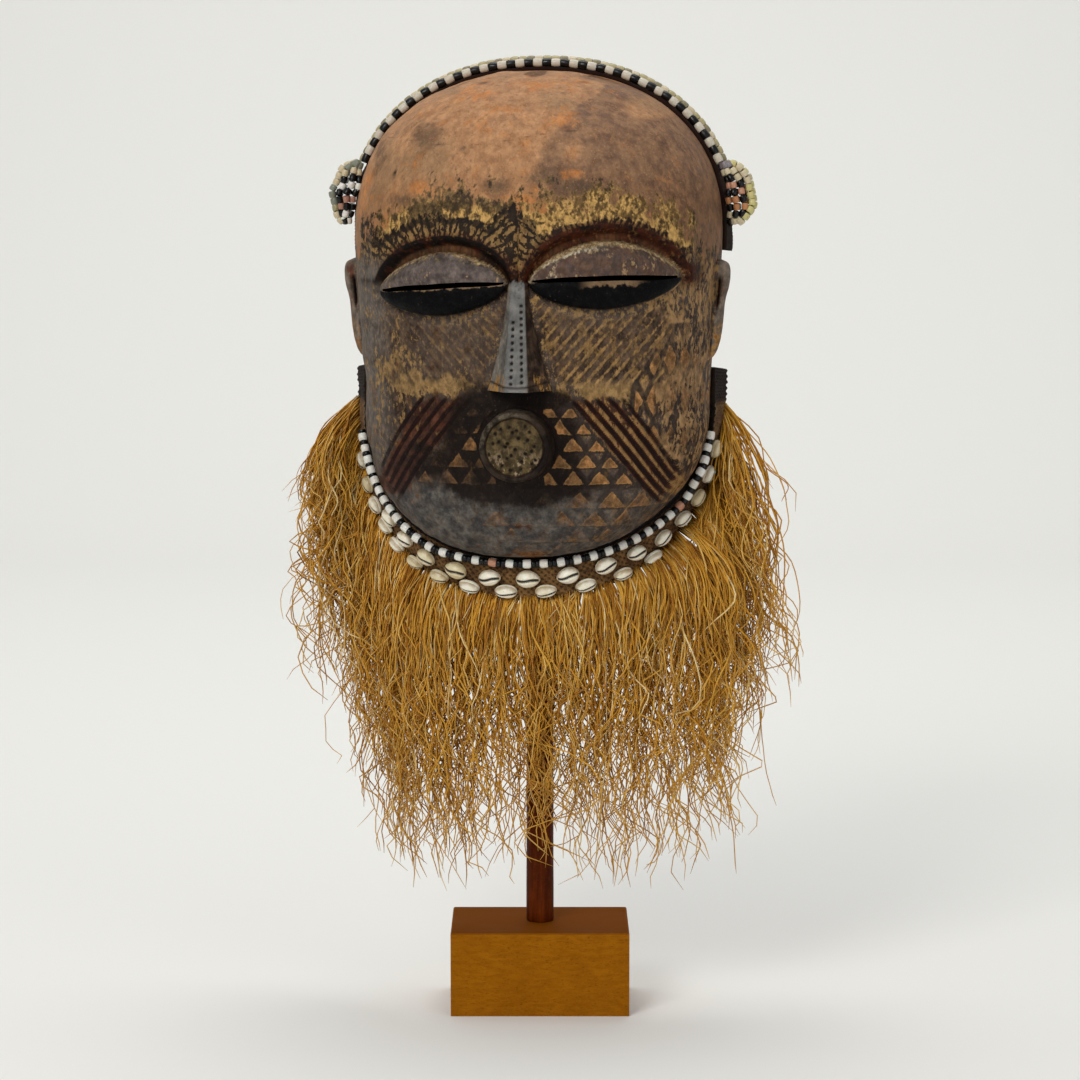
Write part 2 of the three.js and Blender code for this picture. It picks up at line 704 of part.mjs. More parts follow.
const WOOD = 0x6a4a30;
const CLOTH = 0x4a3020;
const SHELL = 0xd9d0b4;

mask.add(piece('wood_face', woodFace(), WOOD, 0.75));
mask.add(piece('crown_band',
  band(crownFrame, -CROWN_BAND_END, CROWN_BAND_END, CROWN_BAND_WIDTH, CROWN_BAND_THICK, 30), CLOTH, 0.95));
mask.add(piece('jaw_band',
  band(jawFrame, JAW_BAND_START, 360 - JAW_BAND_START, JAW_BAND_WIDTH, BAND_THICK, 34), CLOTH, 0.95));
const beadLift = BEAD_RADIUS + GAP;
mask.add(piece('crown_bead_string',
  beadString(crownLine(1.6, beadLift), -CROWN_BEADS_END, CROWN_BEADS_END, BEAD_PITCH, BEAD_RADIUS, 5),
  0xb9b9a8, 0.3));
mask.add(piece('crown_rear_string',
  beadString(crownLine(7.9, beadLift), -CROWN_BEADS_END, CROWN_BEADS_END, BEAD_PITCH * 1.6, BEAD_RADIUS, 4),
  0x9c9474, 0.3));
mask.add(piece('jaw_bead_string',
  beadString(jawBeadLine, JAW_BEADS_START, 360 - JAW_BEADS_START, BEAD_PITCH, BEAD_RADIUS, 5),
  0xb9b9a8, 0.3));
mask.add(piece('left_bead_cluster', beadCluster(-1), 0xa89f78, 0.35));
mask.add(piece('right_bead_cluster', beadCluster(1), 0xa89f78, 0.35));
UPPER_COWRIES.forEach(([angle, across], i) => {
  const shrink = mix(1, 0.8, smooth(Math.abs(180 - angle) / 50));
  mask.add(piece(`upper_cowry_${String(i + 1).padStart(2, '0')}`, cowry(angle, across, shrink), SHELL, 0.35));
});
LOWER_COWRIES.forEach(([angle, across], i) => {
  const shrink = mix(0.94, 0.82, smooth(Math.abs(180 - angle) / 40));
  mask.add(piece(`lower_cowry_${String(i + 1).padStart(2, '0')}`,
    cowry(angle, across, shrink, LOWER_COWRY_SLIM, LOWER_COWRY_ROLL), SHELL, 0.35));
});
mask.add(piece('raffia_fringe', sheet(fringeGrid(0), fringeGrid(1)), 0xb8863a, 0.9));

model.add(mask);
model.add(piece('stand_rod', standRod(), 0x2a1a12, 0.4));
model.add(piece('stand_base', standBase(), 0x7d5518, 0.6));

export default model;
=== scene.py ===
# %% [markdown]
# # A beaded wooden mask on its stand
# The mask is half a helmet, carved and hollowed from one block of wood. Cloth bands are sewn round its
# edge, and carry strings of glass beads, cowrie shells and a raffia fringe. A rod on a block holds it.
# The solids of the part are the frame: every piece here is worked out again from the same sizes, finer.
# Lengths inside the functions are millimetres, because a carver thinks in them, and the last step of
# each piece turns them into Blender's metres.

from math import radians

import bmesh
import bpy
import numpy as np
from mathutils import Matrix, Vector


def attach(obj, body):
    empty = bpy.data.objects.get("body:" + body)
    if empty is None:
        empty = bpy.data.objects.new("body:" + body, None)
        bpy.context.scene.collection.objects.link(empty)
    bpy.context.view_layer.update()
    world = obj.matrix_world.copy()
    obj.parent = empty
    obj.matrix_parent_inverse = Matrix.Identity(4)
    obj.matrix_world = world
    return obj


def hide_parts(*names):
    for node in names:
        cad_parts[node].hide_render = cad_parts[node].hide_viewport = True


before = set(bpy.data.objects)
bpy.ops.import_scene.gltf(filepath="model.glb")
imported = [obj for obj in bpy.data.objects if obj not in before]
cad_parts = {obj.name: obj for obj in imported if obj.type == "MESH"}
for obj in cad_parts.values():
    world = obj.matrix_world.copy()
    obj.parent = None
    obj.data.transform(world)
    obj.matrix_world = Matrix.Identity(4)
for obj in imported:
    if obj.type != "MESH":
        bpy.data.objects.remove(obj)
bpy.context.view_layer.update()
MM = 0.001
print("solids loaded:", len(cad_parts))

# %% [markdown]
# ## The camera
# The photograph was taken from a little over two metres away, from about the height of the crown, and
# looks down by six and a half degrees. A long lens keeps the block's sides out of sight.

# %% Camera
SENSOR_WIDTH, FOCAL_PIXELS, PHOTO_PIXELS = 36, 3452, 1080
LENS_PLACE, LOOKS_DOWN = (0, -2.176, 0.5448), 6.446
camera = bpy.data.objects.new("camera", bpy.data.cameras.new("camera"))
camera.data.lens = SENSOR_WIDTH * FOCAL_PIXELS / PHOTO_PIXELS
camera.location = LENS_PLACE
camera.rotation_euler = (radians(90 - LOOKS_DOWN), 0, 0)
bpy.context.collection.objects.link(camera)
bpy.context.scene.camera = camera
print("camera lens", round(camera.data.lens, 1))

# %% [markdown]
# ## Light and backdrop
# A studio table: a pale sweep that runs from the floor into the wall, one large soft light high on the
# left, a weaker one on the right, and a little light from all round. The sweep is a profile, flat, then
# a quarter turn, then upright, carried sideways. It is stage, not part of the object.


# %% Lights
def soft_light(name, place, aim, size, power, tint=(1, 1, 1)):
    """A square area light at place, whose local -Z axis points at aim."""
    lamp = bpy.data.objects.new(name, bpy.data.lights.new(name, "AREA"))
    lamp.data.size = size
    lamp.data.energy = power
    lamp.data.color = tint
    lamp.location = place
    lamp.rotation_euler = (Vector(aim) - Vector(place)).to_track_quat("-Z", "Y").to_euler()
    bpy.context.collection.objects.link(lamp)


soft_light("key", (-0.9, -1.8, 1.6), (0, 0, 0.36), 0.9, 25, (1, 0.985, 0.96))
soft_light("fill", (1.5, -1.7, 0.75), (0, 0, 0.32), 1.3, 6.5, (0.98, 0.98, 1))
soft_light("wall", (0, 0.9, 3.2), (0, 3.0, 0.7), 2.2, 60)
bpy.context.scene.view_settings.view_transform = "Standard"
world = bpy.data.worlds.new("room")
world.use_nodes = True
world.node_tree.nodes["Background"].inputs["Color"].default_value = (0.93, 0.96, 1, 1)
world.node_tree.nodes["Background"].inputs["Strength"].default_value = 0.4
bpy.context.scene.world = world

# %% [markdown]
# ## Shapes as arrays
# Every form is a grid of points worked out in one go by numpy. These helpers join grids into meshes. A
# closed piece has to face outwards, so the signed volume under its faces is summed, and the faces are
# turned round if it is negative.


# %% Joining points into meshes
def smooth(t):
    """0 below 0, 1 above 1, and 3t^2 - 2t^3 between."""
    t = np.clip(t, 0, 1)
    return t * t * (3 - 2 * t)


def mix(a, b, t):
    """The value that is share t of the way from a to b."""
    return a + (b - a) * t


def bulge(s, power):
    """A superellipse's height: (1 - |s|^power)^(1/power)."""
    return np.maximum(0, 1 - np.abs(s) ** power) ** (1 / power)


def unit(v):
    """Vectors of length one in the last axis."""
    return v / np.maximum(np.linalg.norm(v, axis=-1, keepdims=True), 1e-9)


def grid_faces(rows, columns, start=0, round_rows=False, round_columns=False):
    """Quads of a rows by columns grid whose points are numbered row by row from start."""
    r = np.arange(rows if round_rows else rows - 1)
    c = np.arange(columns if round_columns else columns - 1)
    r, c = np.meshgrid(r, c, indexing="ij")
    below, beside = (r + 1) % rows, (c + 1) % columns
    corners = (r * columns + c, r * columns + beside, below * columns + beside, below * columns + c)
    return start + np.stack(corners, -1).reshape(-1, 4)


def faces_out(points, faces):
    """The same faces, all turned round if the volume that they enclose comes out negative."""
    a, b, c = points[faces[:, 0]], points[faces[:, 1]], points[faces[:, 2]]
    volume = np.einsum("ij,ij->i", a, np.cross(b, c)).sum()
    if faces.shape[1] == 4:
        d = points[faces[:, 3]]
        volume += np.einsum("ij,ij->i", a, np.cross(c, d)).sum()
    return faces[:, ::-1] if volume < 0 else faces


def mesh_object(name, points, quads, tris=None):
    """An object whose mesh has these points, in metres, and these quads and triangles."""
    groups = [f for f in (quads, tris) if f is not None and len(f)]
    counts = np.concatenate([np.full(len(f), f.shape[1]) for f in groups])
    corners = np.concatenate([f.ravel() for f in groups])
    mesh = bpy.data.meshes.new(name)
    mesh.vertices.add(len(points))
    mesh.vertices.foreach_set("co", np.ascontiguousarray(points, np.float32).ravel())
    mesh.loops.add(len(corners))
    mesh.loops.foreach_set("vertex_index", corners.astype(np.int32))
    mesh.polygons.add(len(counts))
    mesh.polygons.foreach_set("loop_start", (np.cumsum(counts) - counts).astype(np.int32))
    mesh.update(calc_edges=True)
    mesh.validate()
    mesh.shade_smooth()
    thing = bpy.data.objects.new(name, mesh)
    bpy.context.collection.objects.link(thing)
    return thing


def mark(thing, **values):
    """Writes each array, one number or one colour a point, as an attribute that a finish can read."""
    for name, value in values.items():
        kind = "FLOAT" if value.ndim == 1 else "FLOAT_COLOR"
        field = "value" if value.ndim == 1 else "color"
        layer = thing.data.attributes.new(name, kind, "POINT")
        layer.data.foreach_set(field, np.ascontiguousarray(value, np.float32).ravel())


def repeated(faces, count, step):
    """The faces of count equal pieces, whose points are numbered one piece after the other, step each."""
    shift = (np.arange(count) * step)[:, None, None]
    return (faces[None] + shift).reshape(-1, faces.shape[1])


def running_length(points):
    """The length of a line up to each of its points, which lie along the first axis."""
    return np.concatenate([[0], np.cumsum(np.linalg.norm(np.diff(points, axis=0), axis=-1))])


def sheet_faces(rows, columns):
    """Quads that join a front grid and the back grid numbered after it, along all four borders."""
    n = rows * columns
    front = grid_faces(rows, columns)
    back = grid_faces(rows, columns, n)[:, ::-1]
    ring = np.concatenate([
        np.arange(columns),
        np.arange(1, rows) * columns + columns - 1,
        (rows - 1) * columns + np.arange(columns - 2, -1, -1),
        np.arange(rows - 2, 0, -1) * columns,
    ])
    after = np.roll(ring, -1)
    return np.concatenate([front, back, np.stack([after, ring, ring + n, after + n], -1)])


def sheet_object(name, front, back):
    """A closed slab between two grids of points in millimetres."""
    points = np.concatenate([front.reshape(-1, 3), back.reshape(-1, 3)]) * MM
    return mesh_object(name, points, faces_out(points, sheet_faces(*front.shape[:2])))


def triangles(thing):
    """How many triangles a mesh has."""
    return sum(len(p.vertices) - 2 for p in thing.data.polygons)


# %% Backdrop
sweep_turn = np.radians(np.linspace(0, 90, 25))
sweep_profile = np.concatenate([
    [[-4.0, 0]],
    np.stack([2.4 + 0.8 * np.sin(sweep_turn), 0.8 - 0.8 * np.cos(sweep_turn)], -1),
    [[3.2, 4.4]],
])
sweep_points = np.array([[x, y, z] for y, z in sweep_profile for x in np.linspace(-4.5, 4.5, 3)])
backdrop = mesh_object("backdrop", sweep_points, grid_faces(len(sweep_profile), 3))
print("backdrop faces", len(backdrop.data.polygons))

# %% [markdown]
# ## Finishes as nodes
# A finish is a Principled shader with noise, ramps and mixes in front of it. The small class below
# writes those nodes with one call each, and every call hands back the socket to use next. Noise sizes
# are given in millimetres of the real object. Colours are given as a painter reads them off a screen.


# %% A writer for finishes
def paint(red, green, blue):
    """A screen colour, 0 to 255 a channel, as the linear colour that a shader wants."""
    c = np.array([red, green, blue]) / 255
    linear = np.where(c <= 0.04045, c / 12.92, ((c + 0.055) / 1.055) ** 2.4)
    return (*linear.tolist(), 1.0)


class Finish:
    """A material being written. Sockets go in and come out, plain numbers are set on the sockets."""

    def __init__(self, name):
        self.material = bpy.data.materials.new(name)
        self.material.use_nodes = True
        self.tree = self.material.node_tree
        self.shader = self.tree.nodes["Principled BSDF"]
        self.where = self.tree.nodes.new("ShaderNodeTexCoord").outputs["Object"]

    def feed(self, node, values):
        for key, value in values.items():
            socket = node.inputs[key if isinstance(key, int) else key.replace("_", " ")]
            if isinstance(value, bpy.types.NodeSocket):
                self.tree.links.new(value, socket)
            else:
                socket.default_value = value

    def node(self, kind, values, out=0, **settings):
        made = self.tree.nodes.new("ShaderNode" + kind)
        for key, value in settings.items():
            setattr(made, key, value)
        self.feed(made, values)
        return made.outputs[out]

    def read(self, name, out="Fac"):
        """A number that mark() wrote on the piece's points, or its colour with out="Color"."""
        return self.node("Attribute", {}, out, attribute_name=name)

    def noise(self, size, detail=5, rough=0.55, stretch=(1, 1, 1), shift=0.0, twist=0.0):
        """Clouds whose lumps are size millimetres across; a stretch of 0.2 makes them five times longer."""
        scale = tuple(s * 1000 / size for s in stretch)
        spot = self.node("Mapping", {"Vector": self.where, "Scale": scale,
                                     "Location": (shift, shift * 1.7, shift * 0.6)})
        return self.node("TexNoise", {"Vector": spot, "Scale": 1.0, "Detail": detail,
                                      "Roughness": rough, "Distortion": twist}, "Fac")

    def sum(self, kind, a, b=0.0, c=0.0):
        return self.node("Math", {0: a, 1: b, 2: c}, operation=kind)

    def times(self, a, by, plus=None):
        """a times by, and plus added where it is given."""
        if plus is None:
            return self.sum("MULTIPLY", a, by)
        return self.sum("MULTIPLY_ADD", a, by, plus)

    def ramp(self, value, low, high, start=0.0, end=1.0):
        """start below low, end above high, and an S-curve between. low may be the larger."""
        return self.node("MapRange", {"Value": value, "From_Min": low, "From_Max": high,
                                      "To_Min": start, "To_Max": end}, interpolation_type="SMOOTHSTEP")

    def blend(self, share, first, second, kind="MIX"):
        """first where share is 0, second where it is 1. Three numbers are a screen colour."""
        first, second = (paint(*c) if isinstance(c, tuple) and len(c) == 3 else c for c in (first, second))
        values = {0: share, 6: first, 7: second}
        return self.node("Mix", values, 2, data_type="RGBA", blend_type=kind)

    def lay(self, ground, colour, value, low, high, most=1.0):
        """The ground with a colour laid over it as value goes from low to high, up to a share of most."""
        return self.blend(self.ramp(value, low, high, 0, most), ground, colour)

    def bump(self, height, depth):
        """A bump whose full height is depth millimetres."""
        return self.node("Bump", {"Height": height, "Distance": depth * MM, "Strength": 1.0})

    def done(self, **shader_values):
        self.feed(self.shader, shader_values)
        return self.material


backdrop.data.materials.append(Finish("pale_sweep").done(Roughness=0.9, Base_Color=(0.83, 0.82, 0.78, 1)))
print("finish writer ready")

# %% [markdown]
# ## The helmet's own form
# Seen from the front the mask is a superellipse, wider at the brow than at the jaw. Cut across at any
# height it is half a superellipse again, from one edge round the front to the other. The same named
# sizes as in the solids give three curves up its height: half width, front and edge. The whole mask
# then stands turned by seven degrees on its rod.

# %% Sizes of the helmet
Z_BROW, Z_CHEEK = 495.4, 385.0
TOP_HEIGHT, LOW_HEIGHT = 99.5, 94.4
HALF_TOP, HALF_LOW = 116.2, 109.4
OUTLINE_POWER, SECTION_POWER = 2.2, 2.4
FRONT_BROW, FRONT_CHEEK = -83.0, -71.0
EDGE_BROW, EDGE_CHEEK, EDGE_CROWN, EDGE_CHIN = 31.0, 21.0, 41.0, -22.0
JAW_SWAY, SWAY_FROM, SWAY_TO = 5.0, 0.3, 1.0
WALL, CHIN_WALL = 11.0, 9.8
OUTLINE_CENTRE_Z = 442.0
MASK_TURN = radians(-7)
MASK_SHIFT = np.array([-3.5, 0, 0])
Z_LOW, Z_HIGH = Z_CHEEK - LOW_HEIGHT, Z_BROW + TOP_HEIGHT


def helmet(z, inset=0.0):
    """Half width, front and edge of the section at height z. Between cheek and brow they blend by an
    S-curve; above and below, each falls off as a superellipse towards the crown and the chin."""
    top = np.clip((z - Z_BROW) / (TOP_HEIGHT - inset), 0, 1)
    low = np.clip((Z_CHEEK - z) / (LOW_HEIGHT - inset * CHIN_WALL / WALL), 0, 1)
    along = smooth((z - Z_CHEEK) / (Z_BROW - Z_CHEEK))
    half = mix(HALF_LOW, HALF_TOP, along) - inset
    front = mix(FRONT_CHEEK, FRONT_BROW, along) + inset
    edge = mix(EDGE_CHEEK, EDGE_BROW, along)
    above, under = z > Z_BROW, z < Z_CHEEK
    half = np.where(above, (HALF_TOP - inset) * bulge(top, OUTLINE_POWER), half)
    half = np.where(under, (HALF_LOW - inset) * bulge(low, OUTLINE_POWER), half)
    front = np.where(above, mix(EDGE_CROWN, FRONT_BROW + inset, bulge(top, 2.2)), front)
    front = np.where(under, mix(EDGE_CHIN, FRONT_CHEEK + inset, bulge(low, 2.0)), front)
    edge = np.where(above, mix(EDGE_BROW, EDGE_CROWN, top * top), edge)
    edge = np.where(under, mix(EDGE_CHEEK, EDGE_CHIN, low * low), edge)
    return half, front, edge


def jaw_sway(z):
    """How far the hand-carved jaw swings to the left towards the chin: an S-curve of the height."""
    return -JAW_SWAY * smooth(((Z_CHEEK - z) / LOW_HEIGHT - SWAY_FROM) / (SWAY_TO - SWAY_FROM))


def face_y(x, z):
    """Where the smooth helmet's outer surface lies at x and z."""
    half, front, edge = helmet(z)
    aside = np.abs(x - jaw_sway(z)) / np.maximum(half, 0.01)
    return mix(edge, front, bulge(np.clip(aside, 0, 1), SECTION_POWER))


def stand_up(points):
    """Turns mask points about the rod by the mask's turn, and shifts them with it."""
    c, s = np.cos(MASK_TURN), np.sin(MASK_TURN)
    turned = np.stack([c * points[..., 0] - s * points[..., 1],
                       s * points[..., 0] + c * points[..., 1], points[..., 2]], -1)
    return turned + MASK_SHIFT


WAVE_COUNT = 14


def waves(x, y, z, size, seed):
    """Soft unevenness: plane waves in random directions, about size millimetres long, summed so that the
    result has a spread of about one."""
    draw = np.random.default_rng(seed)
    total = np.zeros(np.shape(x))
    for direction, phase, stretch in zip(unit(draw.normal(size=(WAVE_COUNT, 3))),
                                         draw.uniform(0, 2 * np.pi, WAVE_COUNT),
                                         draw.uniform(0.7, 1.4, WAVE_COUNT)):
        pace = 2 * np.pi / (size * stretch)
        total += np.sin((x * direction[0] + y * direction[1] + z * direction[2]) * pace + phase)
    return total / np.sqrt(WAVE_COUNT / 2)


print("helmet stands from", Z_LOW, "to", Z_HIGH, "mm")

# %% [markdown]
# ## Carving the face
# The features are cut in low relief, so each is a height over the smooth helmet, worked out from where
# a point lies when it is seen from the front. The brow is a ledge that steps back into the eye socket.
# Each eye is two swollen lids that meet at a slit. Long scars run from beside the nose to the jaw, and
# finer ones lie slanting under the eyes.

# %% Sizes of the features
LEFT_EYE = dict(x=-48.0, z=461.0, tilt=0.06, half=41.5, up=19.5, down=19.0)
RIGHT_EYE = dict(x=51.5, z=466.0, tilt=0.035, half=45.0, up=22.0, down=19.5)
LID_LIFT = 8.5
BROW_RISE = 12.0
SLIT_HEIGHT, SLIT_SLOPE = 3.4, 0.28
SCAR_COUNT, SCAR_TOP = 5, 397
EYE_BORDER = 0.8


def eye_sides(x):
    """Each eye with its side of the face."""
    return (LEFT_EYE, x < EYE_BORDER), (RIGHT_EYE, x >= EYE_BORDER)


def slit_z(eye, u):
    """The slit's height at share u of the eye's half width: a tilted line with a slight rise."""
    return eye["z"] + eye["tilt"] * eye["half"] * u + 2.2 * (1 - u * u)


def lids(eye, x, z):
    """Where a point lies on an eye: u across it, and v from the slit, 0, to the lid's far edge, 1, for
    the upper and the lower lid."""
    u = (x - eye["x"]) / eye["half"]
    over = z - slit_z(eye, np.clip(u, -1, 1))
    lens = np.maximum(bulge(np.clip(u, -1, 1), 1.7), 0.02)
    upper = np.where((over >= 0) & (np.abs(u) < 1), over / (eye["up"] * lens), 9.0)
    lower = np.where((over < 0) & (np.abs(u) < 1), -over / (eye["down"] * lens), 9.0)
    return u, upper, lower


def brow_gap(eye, x, z):
    """How far a point is above the brow's arc, measured across the arc, and how far along it."""
    u = (x - eye["x"]) / eye["half"]

    def arc(w):
        return slit_z(eye, w) + (eye["up"] + BROW_RISE) * bulge(w / 1.12, 2.1) - 2.0

    flat = np.clip(u, -1.09, 1.09)
    slope = (arc(flat + 0.01) - arc(flat - 0.01)) / (0.02 * eye["half"])
    gap = (z - arc(flat)) / np.sqrt(1 + slope ** 2)
    return gap, np.arctan2(z - eye["z"], x - eye["x"]) * (eye["half"] * 0.75)


def eye_relief(x, z):
    """Height of brow, socket and lids: a ridge of 3 mm above the arc that fades upwards, a bevel of 6 mm
    down to a socket 3 mm deep, and the two lids as swellings that end in a step."""
    height = np.zeros_like(x)
    for eye, side in eye_sides(x):
        u, upper, lower = lids(eye, x, z)
        gap, _ = brow_gap(eye, x, z)
        shown = smooth((1.22 - np.abs(u)) / 0.16)
        ridge = 3.0 * np.exp(-np.maximum(gap, 0) ** 2 / 90)
        ledge = mix(-3.2, 3.0, smooth((gap + 7.0) / 6.5))
        below = smooth((z - slit_z(eye, np.clip(u, -1, 1)) + 9) / 9)
        local = np.where(gap > 0, ridge, ledge * np.where(ledge < 0, below, 1)) * shown
        swell = LID_LIFT * bulge(np.clip(u, -1, 1), 2)
        high = np.where(upper < 0.3, 1 - 0.15 * (1 - upper / 0.3) ** 2,
                        1 - 0.9 * np.clip((upper - 0.3) / 0.7, 0, 1) ** 1.8)
        deep = np.where(lower < 0.35, 1 - 0.22 * (1 - lower / 0.35) ** 2,
                        1 - 0.6 * np.clip((lower - 0.35) / 0.65, 0, 1) ** 2.2)
        local = np.where(upper <= 1, np.maximum(local, swell * high - 0.6), local)
        local = np.where(lower <= 1, swell * deep, local)
        under = np.where(lower < 9, (lower - 1) * eye["down"], 99.0)
        local = local - 1.0 * np.exp(-np.clip(under, 0, 99) ** 2 / 18) * (lower > 1) * bulge(
            np.clip(u, -1, 1), 2)
        height = np.where(side, local, height)
    return height


def scar_path(share, z):
    """The long scar at a share, 0 to 1, of the way across their field: how far down it the height z is,
    0 to 1, its distance from the middle of the face there, and the cosine of its slant."""
    top, low, low_z = mix(28, 59, share), mix(85, 94, share), mix(322, 344, share)
    down = (SCAR_TOP - z) / (SCAR_TOP - low_z)
    return down, mix(top, low, down), (SCAR_TOP - low_z) / np.hypot(SCAR_TOP - low_z, low - top)


def scar_lines(x, z):
    """Depth share of the long scars, 0 to 1: five grooves a side, each a line from beside the nose down
    to the jaw, a little bowed, with a round section 3.4 mm wide."""
    depth = np.zeros_like(x)
    for share in np.linspace(0, 1, SCAR_COUNT):
        t, middle, slant = scar_path(share, z)
        middle = middle + 2.6 * np.sin(np.pi * np.clip(t, 0, 1))
        off = np.abs(np.abs(x) - middle) * slant / 1.7
        shown = smooth(t * 9) * smooth((1 - t) * 9)
        depth = np.maximum(depth, np.clip(1 - off ** 2, 0, 1) * shown)
    return depth


def scar_field(x, z):
    """Share of the long scars' whole field, from the first to the last of them, with a margin."""
    inside = np.minimum(np.abs(x) - scar_path(0, z)[1] + 4, scar_path(1, z)[1] + 4 - np.abs(x))
    return smooth(inside / 7.8) * smooth((400 - z) / 13) * smooth((z - 322) / 15.6)


def slanting_scars(x, z):
    """The fine scars under each eye: ridges 5.1 mm apart that climb outwards at 49 degrees. Gives the
    wave, 0 in a groove and 1 on a ridge, and where it is shown."""
    eye_low = np.where(x < 0, LEFT_EYE["z"] - LEFT_EYE["down"], RIGHT_EYE["z"] - RIGHT_EYE["down"])
    centre = np.where(x < 0, LEFT_EYE["x"], RIGHT_EYE["x"])
    half = np.where(x < 0, LEFT_EYE["half"], RIGHT_EYE["half"])
    lid_low = eye_low + 19 * (1 - bulge(np.clip((x - centre) / half, -1, 1), 1.7)) - 3
    across = np.abs(x) * np.sin(radians(49)) - z * np.cos(radians(49))
    wave = 0.5 + 0.5 * np.cos(2 * np.pi * across / 5.1)
    nose_side = 7 + 15 * np.clip((455 - z) / 55, 0, 1) ** 1.4
    shown = (smooth((lid_low - z) / 3) * smooth((z - 401) / 4) * smooth((np.abs(x) - nose_side - 2) / 3)
             * smooth((90 - np.abs(x)) / 5))
    return wave, shown


def round_the_side(x, z):
    """Length of the path round the helmet's section from its middle to x: a sum of short chords."""
    steps = 28
    half, front, edge = helmet(z)
    x = x - jaw_sway(z)
    turn = np.arcsin(np.clip(x / np.maximum(half, 0.01), -1, 1))
    length = np.zeros_like(x)
    last_x, last_y = np.zeros_like(x), front
    for k in range(1, steps + 1):
        across = np.sin(turn * k / steps)
        this_x, this_y = half * across, mix(edge, front, bulge(across, SECTION_POWER))
        length = length + np.hypot(this_x - last_x, this_y - last_y)
        last_x, last_y = this_x, this_y
    return np.sign(x) * length


MERIDIAN_Z = np.linspace(Z_LOW, Z_HIGH, 1500)
MERIDIAN_LENGTH = running_length(np.stack([MERIDIAN_Z, helmet(MERIDIAN_Z)[1]], -1))


def triangle_rows(a, b, width, height):
    """Distance inside upright triangles that stand in rows, every other row shifted by half a width.
    Positive inside, in millimetres."""
    row = np.floor(b / height)
    rise = b / height - row
    beside = np.abs((a + (row % 2) * width / 2) % width - width / 2)
    return np.minimum(((1 - rise) * width / 2 - beside) * 0.75, rise * height - 0.6)


def diamond_rows(a, b, width, height):
    """Distance inside upright diamonds that touch at their corners, with ground of the same shape left
    between them. Positive inside, in millimetres."""
    p = np.abs(a / width - np.round(a / width))
    q = np.abs(b / height - np.round(b / height))
    return (0.44 - p - q) * width * 0.9


def cut_figures(x, z):
    """Distance inside the raised triangles and diamonds, in millimetres, and -4 outside their fields:
    rows of triangles beside the mouth and over the chin, and tall diamonds on the side of each cheek."""
    s = round_the_side(x, z)
    m = np.interp(z, MERIDIAN_Z, MERIDIAN_LENGTH) - np.interp(337.0, MERIDIAN_Z, MERIDIAN_LENGTH)
    scar_left = scar_path(0, z)[1] - 3.0
    scar_right = scar_path(1, z)[1] + 3.5
    mouth_gap = np.hypot(x + 1.2, z - 365.5) - 24.5
    beside = triangle_rows(x - 16.5 + 8, z - 339.5, 15.8, 10.5)
    field = np.minimum.reduce([np.abs(x) - 14, scar_left - np.abs(x), z - 339, 388 - z, mouth_gap])
    beside = np.minimum(beside, np.where(x > 0, field, field - 1.2))
    chin = triangle_rows(s + 4, m, 20.5, 13.2)
    chin = np.minimum(chin, np.minimum(-m - 0.5, 112 - np.abs(s)))
    cheek = diamond_rows(np.abs(s) - 98, z - 392, 13.4, 25.0)
    cheek_edge = np.maximum(scar_right, 60) + np.maximum(z - 385, 0) * 0.75
    cheek = np.minimum.reduce([cheek, np.abs(s) - cheek_edge, 436 - z, z - 330])
    return np.clip(np.maximum.reduce([beside, chin, cheek]), -4, 4)


def carving(x, z):
    """The whole relief in millimetres: brow and lids, scars, figures, and the knife's unevenness."""
    wave, shown = slanting_scars(x, z)
    worn = np.where(x < 0, 0.45, 1.0)
    height = eye_relief(x, z)
    height -= 1.5 * scar_lines(x, z) * np.where(x < 0, 0.8, 1.0)
    height -= 0.75 * (1 - wave) * shown * worn
    height += 0.35 * np.clip(cut_figures(x, z) + 0.6, 0, 1.2)
    return height


print("face heights from", round(float(carving(np.array([0.0]), np.array([430.0]))[0]), 2), "mm")

# %% [markdown]
# ## The wooden shell
# Rows and columns are packed where the carving is fine and spread over the plain crown and sides. The
# outer grid is pushed out along its own normals by the relief, the inner grid stays plain, and a strip
# joins them along the edge. At the crown and the chin a whole row shrinks to one point, so doubles are
# merged there.


# %% Outer and inner grids
def packed(values, lengths, spacing, count):
    """count + 1 values, spread so that the gap between them follows spacing, given along lengths."""
    weight = np.concatenate([[0], np.cumsum(np.diff(lengths) / ((spacing[1:] + spacing[:-1]) / 2))])
    return np.interp(np.linspace(0, weight[-1], count + 1), weight, values)


def row_heights(count):
    """Heights of the rows: close between the chin and the brow, over twice as far apart on the crown."""
    turn = np.linspace(0, np.pi, 1200)
    z = mix(Z_LOW, Z_HIGH, 0.5 - 0.5 * np.cos(turn))
    y = helmet(z)[1]
    length = running_length(np.stack([z, y], -1))
    spacing = mix(0.95, 2.6, smooth((z - 488) / 22))
    return packed(z, length, spacing, count)


def column_turns(count):
    """Angles round the section: close over the front, wider at the sides."""
    turn = np.linspace(-np.pi / 2, np.pi / 2, 1200)
    half, front, edge = (float(v) for v in helmet(np.array(430.0)))
    x, y = half * np.sin(turn), mix(edge, front, bulge(np.sin(turn), SECTION_POWER))
    length = running_length(np.stack([x, y], -1))
    spacing = 1.0 + 1.9 * smooth((np.abs(x) - 88) / 20)
    return packed(turn, length, spacing, count)


